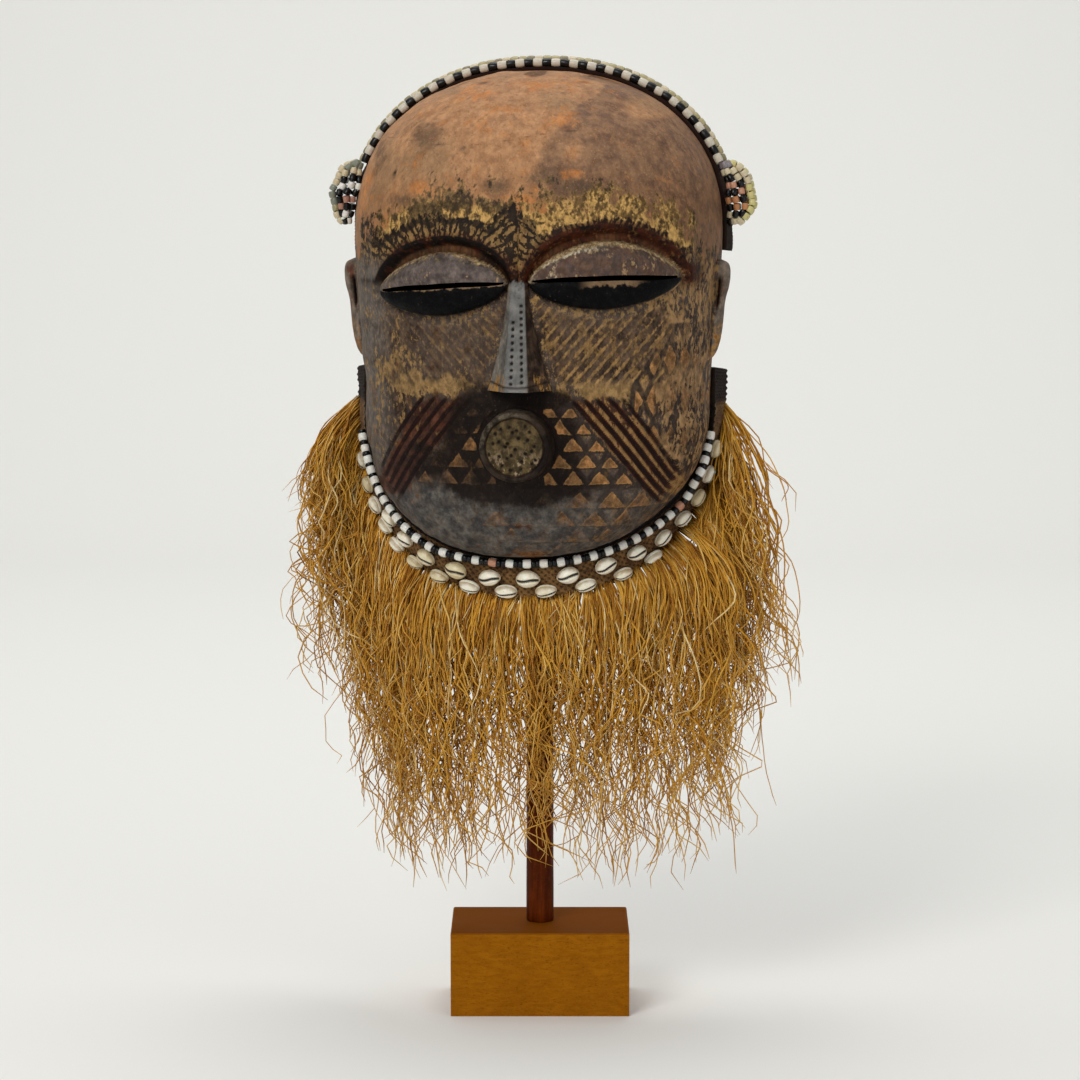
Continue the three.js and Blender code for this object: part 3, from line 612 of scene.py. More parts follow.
def shell_points(z, turns, inset):
    """The helmet's grid: x = half * sin(turn), y between edge and front, for every row and column. The
    outside sways with the jaw, and the hollow was cut straight."""
    half, front, edge = (v[:, None] for v in helmet(z, inset))
    across = np.sin(turns)[None, :]
    x = half * across + (jaw_sway(z)[:, None] if inset == 0 else 0)
    return np.stack([x, mix(edge, front, bulge(across, SECTION_POWER)),
                     np.broadcast_to(z[:, None], x.shape)], -1)


def grid_normals(points):
    """Unit normals of a grid from the cross product of its two directions, pointing forwards."""
    down, beside = np.gradient(points, axis=0), np.gradient(points, axis=1)
    normal = unit(np.cross(down, beside))
    normal[0], normal[-1] = normal[1], normal[-2]
    middle = normal[len(normal) // 2, normal.shape[1] // 2]
    return normal if middle[1] < 0 else -normal


def wooden_shell(rows, columns):
    """The closed shell of the mask before its nose, mouth, ears and slits."""
    z, turns = row_heights(rows), column_turns(columns)
    outer = shell_points(z, turns, 0.0)
    x, zz = outer[..., 0], outer[..., 2]
    calm = smooth((np.pi / 2 - np.abs(turns))[None, :] / 0.12) * smooth((zz - Z_LOW) / 2.5) * smooth(
        (Z_HIGH - zz) / 2.5)
    knife = 0.35 * waves(x, outer[..., 1], zz, 34, 3) + 0.12 * waves(x, outer[..., 1], zz, 11, 4)
    relief = (carving(x, zz) + knife) * calm
    outer = outer + grid_normals(outer) * relief[..., None]
    inner_z = mix(Z_LOW + CHIN_WALL, Z_HIGH - WALL, (z - Z_LOW) / (Z_HIGH - Z_LOW))
    inner_turns = np.interp(np.linspace(0, 1, 21), np.linspace(0, 1, columns + 1), turns)
    inner = shell_points(inner_z, inner_turns, WALL)
    adze = 0.5 * waves(inner[..., 0], inner[..., 1], inner[..., 2], 26, 5)
    inner[:, 1:-1, 1] += adze[:, 1:-1]
    r, c = outer.shape[:2]
    k = inner.shape[1]
    n = r * c
    row = np.arange(r - 1)
    left = np.stack([row * c, n + row * k, n + (row + 1) * k, (row + 1) * c], -1)
    right = np.stack([row * c + c - 1, (row + 1) * c + c - 1, n + (row + 1) * k + k - 1,
                      n + row * k + k - 1], -1)
    faces = np.concatenate([grid_faces(r, c), grid_faces(r, k, n)[:, ::-1], left, right])
    points = np.concatenate([outer.reshape(-1, 3), inner.reshape(-1, 3)]) * MM
    return mesh_object("wooden_mask", points, faces_out(points, faces))


def close_doubles(thing):
    """Merges points that lie on each other and makes all faces point outwards."""
    work = bmesh.new()
    work.from_mesh(thing.data)
    bmesh.ops.remove_doubles(work, verts=work.verts, dist=1e-6)
    bmesh.ops.dissolve_degenerate(work, edges=work.edges, dist=1e-7)
    bmesh.ops.recalc_face_normals(work, faces=work.faces)
    work.to_mesh(thing.data)
    work.free()


mask_wood = wooden_shell(292, 240)
close_doubles(mask_wood)
print("shell triangles", triangles(mask_wood))

# %% [markdown]
# ## Nose, mouth and ears
# These stand too far out for a relief, so each is its own closed form, set deep into the shell and
# joined with it. The nose is a wedge with a narrow flat front that has two columns of drilled dots.
# The mouth is a short turned tube with a rim, closed by a disc with pin holes. Each ear is a C-shaped
# lug, hollowed from the front.


# %% Nose
NOSE_TOP, NOSE_LOW = 465.0, 399.0
NOSE_DOTS = [(-0.42, 404, 441, 10), (0.5, 405, 451, 13)]


def nose_widths(t):
    """Half widths of the nose at share t of its length: its flat front, and its root on the face."""
    return mix(4.2, 7.4, t), mix(6.0, 19.5, t ** 1.5)


def nose_form():
    """Rows run down the nose, columns across it. The reach rises from 1.5 to 22 mm. A column has all of it
    on the flat front and about an eighth of it at the root, by a curve that is slightly hollow."""
    t = np.linspace(0, 1, 88)[:, None]
    a = np.linspace(-1, 1, 70)[None, :]
    z = mix(NOSE_TOP, NOSE_LOW, t)
    facet, root = nose_widths(t)
    edge = facet / root
    x = root * np.sign(a) * np.where(np.abs(a) < 0.45, np.abs(a) / 0.45 * edge,
                                     mix(edge, 1, (np.abs(a) - 0.45) / 0.55))
    fall = np.clip((np.abs(x) - facet) / np.maximum(root - facet, 0.1), 0, 1)
    reach = mix(1.5, 22.0, t ** 0.9)
    lift = mix(reach, 0.5 + reach * 0.12, fall ** 0.86) - 0.5 * np.exp(-((np.abs(x) - facet) / 0.5) ** 2)
    for column, low, high, dots in NOSE_DOTS:
        for dot_z in np.linspace(low, high, dots):
            away = np.hypot(x - column * facet, z - dot_z)
            lift = lift - 1.1 * np.clip(1 - (away / 1.15) ** 2, 0, 1)
    x, z = np.broadcast_arrays(x, z)
    front = np.stack([x, face_y(0 * x, z) - lift, z], -1)
    back = np.stack([x, face_y(0 * x, z) + 7, z], -1)
    return sheet_object("nose", front, back)


# %% Mouth
MOUTH_X, MOUTH_Z, MOUTH_RADIUS, MOUTH_FRONT = -1.2, 365.5, 21.4, -92.0


def mouth_form():
    """A profile of radius and depth, turned about the tube's axis. The pin holes are small dents in the
    disc, laid out on a spiral with a seeded jitter."""
    wall_r = [MOUTH_RADIUS + 1.6, MOUTH_RADIUS + 0.6, MOUTH_RADIUS, MOUTH_RADIUS, MOUTH_RADIUS - 0.5,
              MOUTH_RADIUS - 1.6, MOUTH_RADIUS - 2.8, MOUTH_RADIUS - 3.5, MOUTH_RADIUS - 4.0]
    wall_y = [-62.0, -76.0, -84.0, MOUTH_FRONT + 1.8, MOUTH_FRONT + 0.6, MOUTH_FRONT,
              MOUTH_FRONT + 0.4, MOUTH_FRONT + 1.6, MOUTH_FRONT + 3.0]
    disc_r = np.linspace(MOUTH_RADIUS - 4.2, 0.4, 24)
    radius = np.concatenate([wall_r, disc_r])
    depth = np.concatenate([wall_y, MOUTH_FRONT + 2.6 - 0.8 * (1 - (disc_r / 17) ** 2)])
    turn = np.linspace(0, 2 * np.pi, 112, endpoint=False)
    x = radius[:, None] * np.cos(turn)
    z = radius[:, None] * np.sin(turn)
    y = np.broadcast_to(depth[:, None], x.shape).copy()
    draw = np.random.default_rng(8)
    k = np.arange(27)
    pin_r, pin_turn = 15.6 * np.sqrt((k + 0.6) / 27), k * 2.39996
    pins = np.stack([pin_r * np.cos(pin_turn), pin_r * np.sin(pin_turn)], -1) + draw.normal(0, 1.0, (27, 2))
    for pin in pins:
        away = np.hypot(x - pin[0], z - pin[1])
        y = y + 1.0 * np.clip(1 - (away / 1.15) ** 2, 0, 1) * (radius[:, None] < 17.3)
    points = np.stack([x + MOUTH_X, y, z + MOUTH_Z], -1)
    hub_front = [[MOUTH_X, float(y[-1].mean()), MOUTH_Z]]
    hub_back = [[MOUTH_X, wall_y[0], MOUTH_Z]]
    flat = np.concatenate([points.reshape(-1, 3), hub_front, hub_back]) * MM
    rows, columns = x.shape
    quads = grid_faces(rows, columns, round_columns=True)
    ring = np.arange(columns)
    last = (rows - 1) * columns
    tris = np.concatenate([
        np.stack([last + ring, last + (ring + 1) % columns, np.full(columns, rows * columns)], -1),
        np.stack([(ring + 1) % columns, ring, np.full(columns, rows * columns + 1)], -1),
    ])
    return mesh_object("mouth", flat, quads, tris), pins


# %% Ears
EAR_TOP_Z, EAR_HEIGHT, EAR_DEPTH, EAR_FRONT_Y = 477.0, 64.0, 13.0, 3.0
EAR_OUTLINE = np.array([[0, 0], [3.6, 0.012], [6.2, 0.045], [7.4, 0.11], [7.6, 0.2], [7.1, 0.29],
                        [6.0, 0.36], [5.5, 0.44], [5.6, 0.55], [5.6, 0.68], [5.0, 0.8], [3.6, 0.9],
                        [1.2, 0.97], [-1.5, 1]])


def ear_form(side):
    """The outline, out from the head's side against height, is smoothed by a short running mean. Columns
    run from the head to the outline; a small dish is sunk beside the head, under the upper lobe."""
    rows, columns = 76, 26
    t = np.linspace(0, 1, rows)
    reach = np.interp(t, EAR_OUTLINE[:, 1], EAR_OUTLINE[:, 0])
    for _ in range(3):
        reach[1:-1] = (reach[:-2] + 2 * reach[1:-1] + reach[2:]) / 4
    t, reach = t[:, None], reach[:, None]
    a = np.linspace(0, 1, columns)[None, :]
    z = np.broadcast_to(EAR_TOP_Z - EAR_HEIGHT * t, (rows, columns))
    out = mix(-7.0, reach, a ** 0.8)
    x = helmet(z)[0] + out
    dish = 5.5 * np.exp(-((out - 0.6) / 2.1) ** 2) * smooth((t - 0.14) / 0.1) * smooth((0.5 - t) / 0.1)
    dish = dish + 1.4 * np.exp(-((out - 2.2) / 1.6) ** 2) * smooth((t - 0.5) / 0.1) * smooth((0.86 - t) / 0.1)
    round_off = 5.2 * np.clip((out - reach + 4.5) / 4.5, 0, 1) ** 2.4
    round_off = round_off + 4.0 * smooth((0.05 - t) / 0.05) + 4.0 * smooth((t - 0.95) / 0.05)
    front = np.stack([side * x, EAR_FRONT_Y + dish + round_off, z], -1)
    back = np.stack([side * x, EAR_FRONT_Y + EAR_DEPTH - 0.6 * round_off, z], -1)
    return sheet_object("ear", front, back)


# %% Slits
def wedge_z(eye, u, y):
    """The middle height of an eye's slit at share u of its half width and depth y: it climbs inwards."""
    return slit_z(eye, u) + (y - face_y(eye["x"] + eye["half"] * u, eye["z"] + 0 * u) + 6) * SLIT_SLOPE


def slit_form(eye):
    """A thin curved wedge right through the wall, climbing so that no light shows from the front."""
    u = np.linspace(-0.95, 0.95, 40)[None, :]
    y = np.array([-104.0, -6.0])[:, None]
    half = SLIT_HEIGHT / 2 * (1 - 0.8 * u ** 4)
    x, y, z, half = np.broadcast_arrays(eye["x"] + eye["half"] * u, y, wedge_z(eye, u, y), half)
    return sheet_object("slit", np.stack([x, y, z + half], -1), np.stack([x, y, z - half], -1))


def join(thing, other, operation):
    """Boolean union or difference of two closed meshes, kept as plain mesh. The other one goes."""
    step = thing.modifiers.new("join", "BOOLEAN")
    step.operation, step.solver, step.object = operation, "MANIFOLD", other
    depsgraph = bpy.context.evaluated_depsgraph_get()
    made = bpy.data.meshes.new_from_object(thing.evaluated_get(depsgraph))
    thing.modifiers.clear()
    old, thing.data = thing.data, made
    bpy.data.meshes.remove(old)
    bpy.data.objects.remove(other)


mouth_block, mouth_pins = mouth_form()
for extra in (nose_form(), mouth_block, ear_form(-1), ear_form(1)):
    close_doubles(extra)
    join(mask_wood, extra, "UNION")
for eye in (LEFT_EYE, RIGHT_EYE):
    cutter = slit_form(eye)
    close_doubles(cutter)
    join(mask_wood, cutter, "DIFFERENCE")


def slit_walls(thing):
    """True for each face that lies on a wall of one of the two slits: it looks up or down, and its middle
    is within half a slit's height of the wedge."""
    count = len(thing.data.polygons)
    middle, normal = np.empty(count * 3, np.float32), np.empty(count * 3, np.float32)
    thing.data.polygons.foreach_get("center", middle)
    thing.data.polygons.foreach_get("normal", normal)
    (x, y, z), up = middle.reshape(-1, 3).T / MM, np.abs(normal.reshape(-1, 3)[:, 2])
    found = np.zeros(count, bool)
    for eye in (LEFT_EYE, RIGHT_EYE):
        u = (x - eye["x"]) / eye["half"]
        near = np.abs(z - wedge_z(eye, u, y)) < SLIT_HEIGHT / 2 + 0.3
        found |= (np.abs(u) < 0.97) & near & (up > 0.6)
    return found


in_slit = slit_walls(mask_wood)
print("faces in the slits", int(in_slit.sum()))
print("carved mask triangles", triangles(mask_wood))

# %% [markdown]
# ## Marks for the paint
# The paint follows the carving: the lids, the brow, the figures and the scars each have their own
# colour, and wear off in their own way. Every point of the mask is told where it lies, once the joins
# are made, and the finish reads these marks.


# %% Marks on the wood
FOREHEAD_STAINS = [(-62, 553, 16, 11, 0.8), (-36, 546, 7, 3, 0.8), (-13, 524, 9, 7, 1.1),
                   (16, 528, 12, 6, 1.1), (-70, 524, 9, 10, 0.4), (38, 522, 22, 7, 0.9),
                   (-93, 540, 7, 16, 0.7), (-72, 514, 16, 5, 0.8)]
FOREHEAD_BRIGHT = [(24, 563, 9, 5, 1.0), (2, 515, 10, 6, 1.0), (34, 530, 9, 2.5, 1.0),
                   (-30, 578, 20, 8, 0.5), (-104, 512, 5, 18, 1.0), (-62, 520, 20, 5, 0.5),
                   (8, 585, 26, 4, 0.7), (-52, 528, 16, 8, 0.35), (12, 522, 8, 2.5, 0.8)]
WORN_SPOTS = [(-78, 404, 20, 12, 0.9), (88, 470, 8, 12, 1.0), (84, 440, 14, 22, 0.6), (62, 398, 26, 9, 0.8),
              (-92, 380, 10, 26, 0.5)]
PALE_PATCH = [(74, 572, 15, 9, 1)]
# Dark spots round the mouth: partly soot, partly painted shadow cast by the mouth's tube and by the nose.
MOUTH_SOOT = [(-4, 341, 36, 12, 1.9), (-31, 368, 13, 26, 1.8), (0, 393, 28, 7, 1.5), (-2, 366, 29, 28, 1.4),
              (28, 362, 9, 22, 0.9), (-54, 352, 20, 12, 0.7)]


def spots(x, z, places):
    """Soft ovals, the strongest at each point: each has its middle, its two half widths and strength."""
    total = np.zeros_like(x)
    for px, pz, wide, high, strength in places:
        total = np.maximum(total, strength * np.exp(-((x - px) / wide) ** 2 - ((z - pz) / high) ** 2))
    return total


def read_points(thing):
    """The mesh's points in millimetres."""
    flat = np.empty(len(thing.data.vertices) * 3, np.float32)
    thing.data.vertices.foreach_get("co", flat)
    return flat.reshape(-1, 3).astype(float) / MM


def mark_wood(thing):
    """Lids, brow, figures, scars, nose and mouth, forehead paint, crack and hollow, one number each."""
    x, y, z = read_points(thing).T
    half, front, edge = helmet(z)
    shell = (np.clip((edge - y) / np.maximum(edge - front, 1), 0, 2) ** SECTION_POWER
             + (np.abs(x - jaw_sway(z)) / np.maximum(half, 1)) ** SECTION_POWER)
    proud = face_y(x, z) - y
    upper, lower, gap, along, rim = np.zeros((5, len(x)))
    lash = np.full_like(x, 9.0)
    for eye, side in eye_sides(x):
        u, high, low = lids(eye, x, z)
        this_gap, this_along = brow_gap(eye, x, z)
        inside = smooth((1.04 - np.abs(u)) / 0.06)
        upper = np.where(side & (high < 8), smooth((1.03 - high) / 0.06) * inside, upper)
        lower = np.where(side & (low < 8), smooth((1.05 - low) / 0.06) * inside, lower)
        lash = np.where(side, np.minimum(high * eye["up"], low * eye["down"]), lash)
        gap, along = np.where(side, this_gap, gap), np.where(side, this_along, along)
        rim = np.where(side & (high < 8), smooth((high - 0.62) / 0.36) + 0.35 * np.abs(u) ** 3, rim)
    wave, shown = slanting_scars(x, z)
    fresh = np.where(z < 338, 0.17 + 0.004 * x, np.where(x > 0, 1.0, 0.45)) * smooth((z - 288) / 12)
    fresh = np.where(np.abs(x) > 80, np.where(x > 0, 0.6, 0.15), fresh)
    wear = 0.1 + 0.5 * smooth((z - 392) / 8) * smooth((425 - z) / 12) * smooth((np.abs(x) - 24) / 14)
    wear = wear + smooth((x - 66) / 22) * smooth((z - 330) / 30) * 0.75 - 0.9 * smooth((352 - z) / 14)
    under_eyes = smooth((np.abs(x) - 20) / 6) * smooth((84 - np.abs(x)) / 12)
    wear = wear + 0.8 * np.exp(-((z - 401) / 8) ** 2) * under_eyes
    wear = wear - 0.3 * smooth((-x - 88) / 10) * smooth((440 - z) / 20)
    wear = wear + spots(x, z, WORN_SPOTS)
    ear_out, ear_t = np.abs(x) - half, (EAR_TOP_Z - z) / EAR_HEIGHT
    on_ear = smooth((ear_out - 0.2) / 0.5) * (z > 410) * (z < 480) * (y > -6)
    dish = smooth((2.8 - ear_out) / 1.2) * smooth((ear_t - 0.14) / 0.08) * smooth((0.54 - ear_t) / 0.1)
    blotch = waves(x, y, z, 40, 11)
    purple = smooth((x - 8 - 0.55 * np.maximum(0, z - 540) + 7 * blotch) / 16)
    forehead = z - 517 + 26 * smooth((np.abs(x - 4) - 58) / 52) + 8 * np.exp(-((x + 3) / 15) ** 2)
    forehead = 0.5 + (forehead + 2.5 * waves(x, y, z, 18, 12)) / 18
    side_paint = smooth((np.abs(x) - 101) / 7) * smooth((z - 474) / 18)
    forehead = np.maximum(forehead, side_paint * 1.4 - 4 * (side_paint < 0.01))
    facet, root = nose_widths(np.clip((NOSE_TOP - z) / (NOSE_TOP - NOSE_LOW), 0, 1.05))
    on_nose = smooth((root + 0.8 - np.abs(x)) / 0.8) * smooth((proud - 0.9) / 0.8) * (z > 397.5) * (z < 466)
    dots = np.zeros_like(x)
    for column, low_z, high_z, count in NOSE_DOTS:
        for dot_z in np.linspace(low_z, high_z, count):
            dots = np.maximum(dots, smooth((1.35 - np.hypot(x - column * facet, z - dot_z)) / 0.6))
    from_mouth = np.hypot(x - MOUTH_X, z - MOUTH_Z)
    on_mouth = smooth((MOUTH_RADIUS + 1.6 - from_mouth) / 0.5) * smooth((proud - 1.6) / 1.0)
    pins = np.zeros_like(x)
    for pin in mouth_pins:
        pins = np.maximum(pins, smooth((1.5 - np.hypot(x - MOUTH_X - pin[0], z - MOUTH_Z - pin[1])) / 0.7))
    upper_left = np.cos(np.arctan2(z - MOUTH_Z, x - MOUTH_X) - radians(128))
    lip_wear = smooth((from_mouth - 17.6) / 1.2) * smooth((upper_left - 0.1) / 0.9)
    mark(
        thing,
        upper_lid=upper, lower_lid=lower, lash=np.clip(lash, 0, 9), lid_rim=rim,
        brow=np.clip(gap, -14, 40), brow_along=along,
        browed=smooth((112 - np.abs(x)) / 8) * (upper < 0.5) * (lower < 0.5) * smooth((z - 458) / 8),
        belted=smooth((z - 458 - 0.12 * np.abs(x)) / 16),
        figure=cut_figures(x, z), fresh=fresh, scar=scar_lines(x, z), scarred=scar_field(x, z),
        hatch=wave, hatched=shown, wear=wear, ear=on_ear, dish=on_ear * dish * (y < 12),
        pit=smooth((1.9 - np.hypot(x + 80, z - 530)) / 0.8),
        hollow=smooth((0.955 - shell) / 0.06),
        forehead=np.clip(forehead, -5, 2), soot=spots(x, z, MOUTH_SOOT),
        purple=np.clip(purple - 1.2 * spots(x, z, PALE_PATCH), 0, 1),
        stain=spots(x, z, FOREHEAD_STAINS), bright=spots(x, z, FOREHEAD_BRIGHT),
        crack=np.abs(z - 552 - 3.5 * np.sin(x / 21) - 0.03 * x) + 9 * (x > 40) + 9 * (x < -92),
        nose=on_nose, facet=smooth((facet + 0.3 - np.abs(x)) / 0.6) * on_nose,
        nostril=smooth((412 - z) / 8) * smooth((np.abs(x) - 5) / 5), dot=dots * on_nose,
        lip=on_nose * np.exp(-((z - 401.6 - 0.01 * x * x) / 0.7) ** 2),
        # under: where the nose's painted shadow lies on the face just below it.
        under=smooth((402 - z) / 3) * smooth((20 - np.abs(x)) / 4) * smooth((z - 390) / 8) * (1 - on_nose),
        mouth=on_mouth, disc=smooth((17.7 - from_mouth) / 0.5), pin=pins * smooth((17 - from_mouth) / 0.5),
        lip_wear=lip_wear, across=x / 100, height=(z - 440) / 100,
    )


mark_wood(mask_wood)
placed = stand_up(read_points(mask_wood)) * MM
mask_wood.data.vertices.foreach_set("co", placed.astype(np.float32).ravel())
mask_wood.data.update()
mask_wood.data.set_sharp_from_angle(angle=radians(52))
print("marks:", len(mask_wood.data.attributes))

# %% [markdown]
# ## Paint and wear of the wood
# The face was stained dark, then rubbed until tan wood came through on every ridge. So most layers are
# laid where a mark, roughened by noise, passes a threshold: that gives the ragged edges of worn paint.
# The forehead keeps an orange paint with a purple-brown stain over its right half.
# Some layers are painted shade: the bevel under the brow, the face under the nose, round the mouth, the
# nose's right flank in part, the gap in its lip, and the drilled holes and the pit.


# %% The shared noises and places
class WoodFinish(Finish):
    """The finish of the carved wood, with the noises and the worn places that several layers share."""

    def __init__(self):
        super().__init__("carved_wood")
        self.big, self.mid, self.small = self.noise(46, 4), self.noise(14, 6, 0.6), self.noise(4.2, 6, 0.62)
        self.dust, self.rub = self.noise(1.4, 4, 0.6), self.noise(8, 6, 0.62, shift=3.1)
        self.grain = self.noise(2.2, 5, 0.6, stretch=(1, 1, 0.06), shift=1.3)
        self.chip = self.noise(7.0, 8, 0.7, stretch=(1, 1, 0.6), shift=9.0)
        self.speck = self.noise(2.4, 5, 0.66, stretch=(1, 1, 0.6), shift=4.4)
        self.big_swing, self.mid_swing, self.small_swing = self.swings(self.big, self.mid, self.small)
        self.dust_swing, self.chip_swing, self.speck_swing = self.swings(self.dust, self.chip, self.speck)
        self.crumble = self.sum("ADD", self.chip_swing, self.times(self.speck_swing, 0.7))
        self.across, self.height = self.read("across"), self.read("height")
        self.right = self.ramp(self.across, -0.06, 0.08)
        self.lower, self.facet = self.read("lower_lid"), self.read("facet")
        self.worn = self.ramp(self.times(self.read("wear"), 0.16, self.crumble), 0.1, 0.15)
        ragged_by = self.times(self.chip_swing, 2.6, self.times(self.speck_swing, 2.0))
        self.ragged = self.sum("ADD", self.read("figure"), ragged_by)
        clouds = self.sum("ADD", self.big_swing, self.times(self.mid_swing, 0.8))
        self.fresh = self.ramp(self.times(clouds, 2.3, self.read("fresh")), 0.15, 0.95, 0.04, 1.0)
        self.fade = self.rough(self.read("forehead"), 2.6, 3.4)

    def swings(self, *clouds):
        """Each noise less its mean of a half, so that it swings about 0."""
        return [self.sum("SUBTRACT", cloud, 0.5) for cloud in clouds]

    def rough(self, place, chips, clouds):
        """A mark whose border is broken by chips, and moved to and fro by wide clouds."""
        return self.times(self.crumble, chips, self.times(self.mid_swing, clouds, place))


# %% Stain, flecks and chin
def stain(f):
    """Stain: umber, grey-brown and slate clouds."""
    wood = f.lay((46, 33, 25), (80, 68, 60), f.times(f.mid, 0.5, f.big), 0.62, 0.86)
    wood = f.lay(wood, (92, 76, 62), f.rub, 0.5, 0.64, 0.7)
    wood = f.lay(wood, (34, 23, 17), f.chip, 0.42, 0.3, 0.7)
    slate = f.times(f.ramp(f.across, -0.78, -0.96), f.ramp(f.rub, 0.3, 0.6, 0.35, 0.9))
    return f.blend(slate, wood, (100, 93, 86))


def flecks(f, face):
    """Flecks: chips of tan wood, crisp at their edges, in the places where the face was rubbed."""
    bare_tan = f.blend(f.small, (110, 84, 48), (162, 130, 84))
    bare_tan = f.lay(bare_tan, f.blend(f.small, (124, 92, 56), (174, 138, 96)), f.across, 0.6, 0.85)
    face = f.blend(f.times(f.worn, 0.85), face, bare_tan)
    thin = f.times(f.dust_swing, 0.6, f.times(f.big_swing, 0.5, f.speck_swing))
    thin = f.ramp(thin, 0.08, 0.13, 0, 0.8)
    thin = f.times(thin, f.ramp(f.across, -0.7, 0.2, 0.4, 1.0))
    thin = f.times(thin, f.ramp(f.read("hatched"), 0.2, 0.9, 1.0, 0.35))
    return f.blend(f.times(thin, f.ramp(f.height, -0.95, -0.7, 0.1, 1.0)), face,
                   f.blend(f.rub, (120, 94, 56), (152, 122, 80)))


def chin_coat(f, face):
    """Chin: a bluish black coat, thinner towards the right."""
    chin = f.times(f.ramp(f.times(f.mid, 0.25, f.height), -0.84, -0.98),
                   f.ramp(f.times(f.big, 0.9, f.across), 1.2, 0.3, 0.55, 1.0))
    chin = f.times(chin, f.ramp(f.crumble, 0.16, 0.08, 0.25, 1.0))
    coat = f.lay((56, 55, 55), (98, 93, 86), f.rub, 0.35, 0.68)
    coat = f.lay(coat, (126, 102, 70), f.times(f.across, 0.12, f.crumble), 0.11, 0.18, 0.75)
    return f.blend(chin, face, coat)


# %% Scars and cut figures
def slanting_ridges(f, face):
    """Slanting scars: thin rubbed ridges between dark grooves, clear on the right, half lost on the
    left."""
    ridge = f.ramp(f.rough(f.read("hatch"), 1.6, 1.6), 0.62, 0.92)
    keep = f.times(f.read("hatched"), f.ramp(f.times(f.across, 0.26, f.mid), 0.34, 0.5, 0.25, 0.95))
    groove = f.lay((50, 38, 30), (92, 72, 55), f.rub, 0.36, 0.6)
    groove = f.lay(groove, (122, 94, 56), f.crumble, 0.04, 0.1, 0.7)
    face = f.blend(keep, face, f.blend(ridge, groove, f.blend(f.small, (112, 84, 48), (162, 128, 80))))
    dull = f.times(f.read("hatched"), f.ramp(f.times(f.big_swing, 0.6, f.mid), 0.5, 0.66, 0, 0.75))
    return f.blend(dull, face, f.blend(f.rub, (68, 54, 46), (92, 78, 66)))


def tan_figures(f, face):
    """Cut figures: worn tan inside, dark in the ground around them."""
    figure = f.read("figure")
    face = f.blend(f.times(f.ramp(figure, -3.9, -2.6), f.times(f.fresh, 0.9)), face,
                   f.blend(f.mid, (30, 22, 18), (62, 52, 46)))
    tan = f.lay((112, 78, 44), (164, 116, 70), f.small, 0.35, 0.7)
    tan = f.lay(tan, (96, 74, 50), f.crumble, 0.0, 0.1, 0.7)
    rim_line = f.times(f.ramp(f.ragged, -0.2, 0.3), f.ramp(f.ragged, 1.3, 0.7))
    tan = f.blend(f.times(rim_line, 0.35), tan, (180, 136, 84))
    return f.blend(f.times(f.ramp(f.ragged, 0.1, 0.7), f.fresh), face, tan)


def dark_scars(f, face):
    """Long scars: dark red grooves between rubbed ridges."""
    scar = f.read("scar")
    field = f.lay((42, 18, 12), (78, 40, 24), f.rub, 0.4, 0.62)
    low_right = f.times(f.ramp(f.across, 0.1, 0.5), f.ramp(f.height, -0.35, -0.75, 0.45, 1.0))
    on_ridge = f.ramp(scar, 0.3, 0.0)
    field = f.blend(f.times(on_ridge, f.ramp(f.across, 0.0, 0.15, 0.12, 0.4)), field,
                    f.blend(f.rub, (66, 40, 26), (108, 76, 48)))
    ridge_tan = f.times(f.times(on_ridge, f.ramp(f.across, 0.0, 0.15, 0.3, 0.9)),
                        f.ramp(f.times(low_right, 0.2, f.crumble), 0.09, 0.17))
    field = f.blend(ridge_tan, field, f.blend(f.rub, (116, 86, 50), (156, 120, 72)))
    scarred = f.ramp(f.rough(f.read("scarred"), 2.0, 2.2), 0.2, 0.75)
    face = f.blend(f.times(scarred, f.ramp(f.across, -0.1, 0.1, 0.85, 0.95)), face, field)
    face = f.blend(f.times(f.ramp(scar, 0.1, 0.75), f.ramp(f.mid, 0.3, 0.5, 0.55, 0.95)), face, (26, 11, 8))
    # Soot and painted shadow round the mouth, kept off the cut figures.
    soot = f.rough(f.read("soot"), 0.9, 1.2)
    kept = f.times(f.ramp(f.ragged, -0.2, 0.9), f.fresh)
    soot = f.times(f.ramp(soot, 0.12, 0.6, 0, 0.94), f.times(kept, -0.8, 1.0))
    return f.blend(soot, face, f.blend(f.rub, (9, 5, 4), (30, 19, 13)))


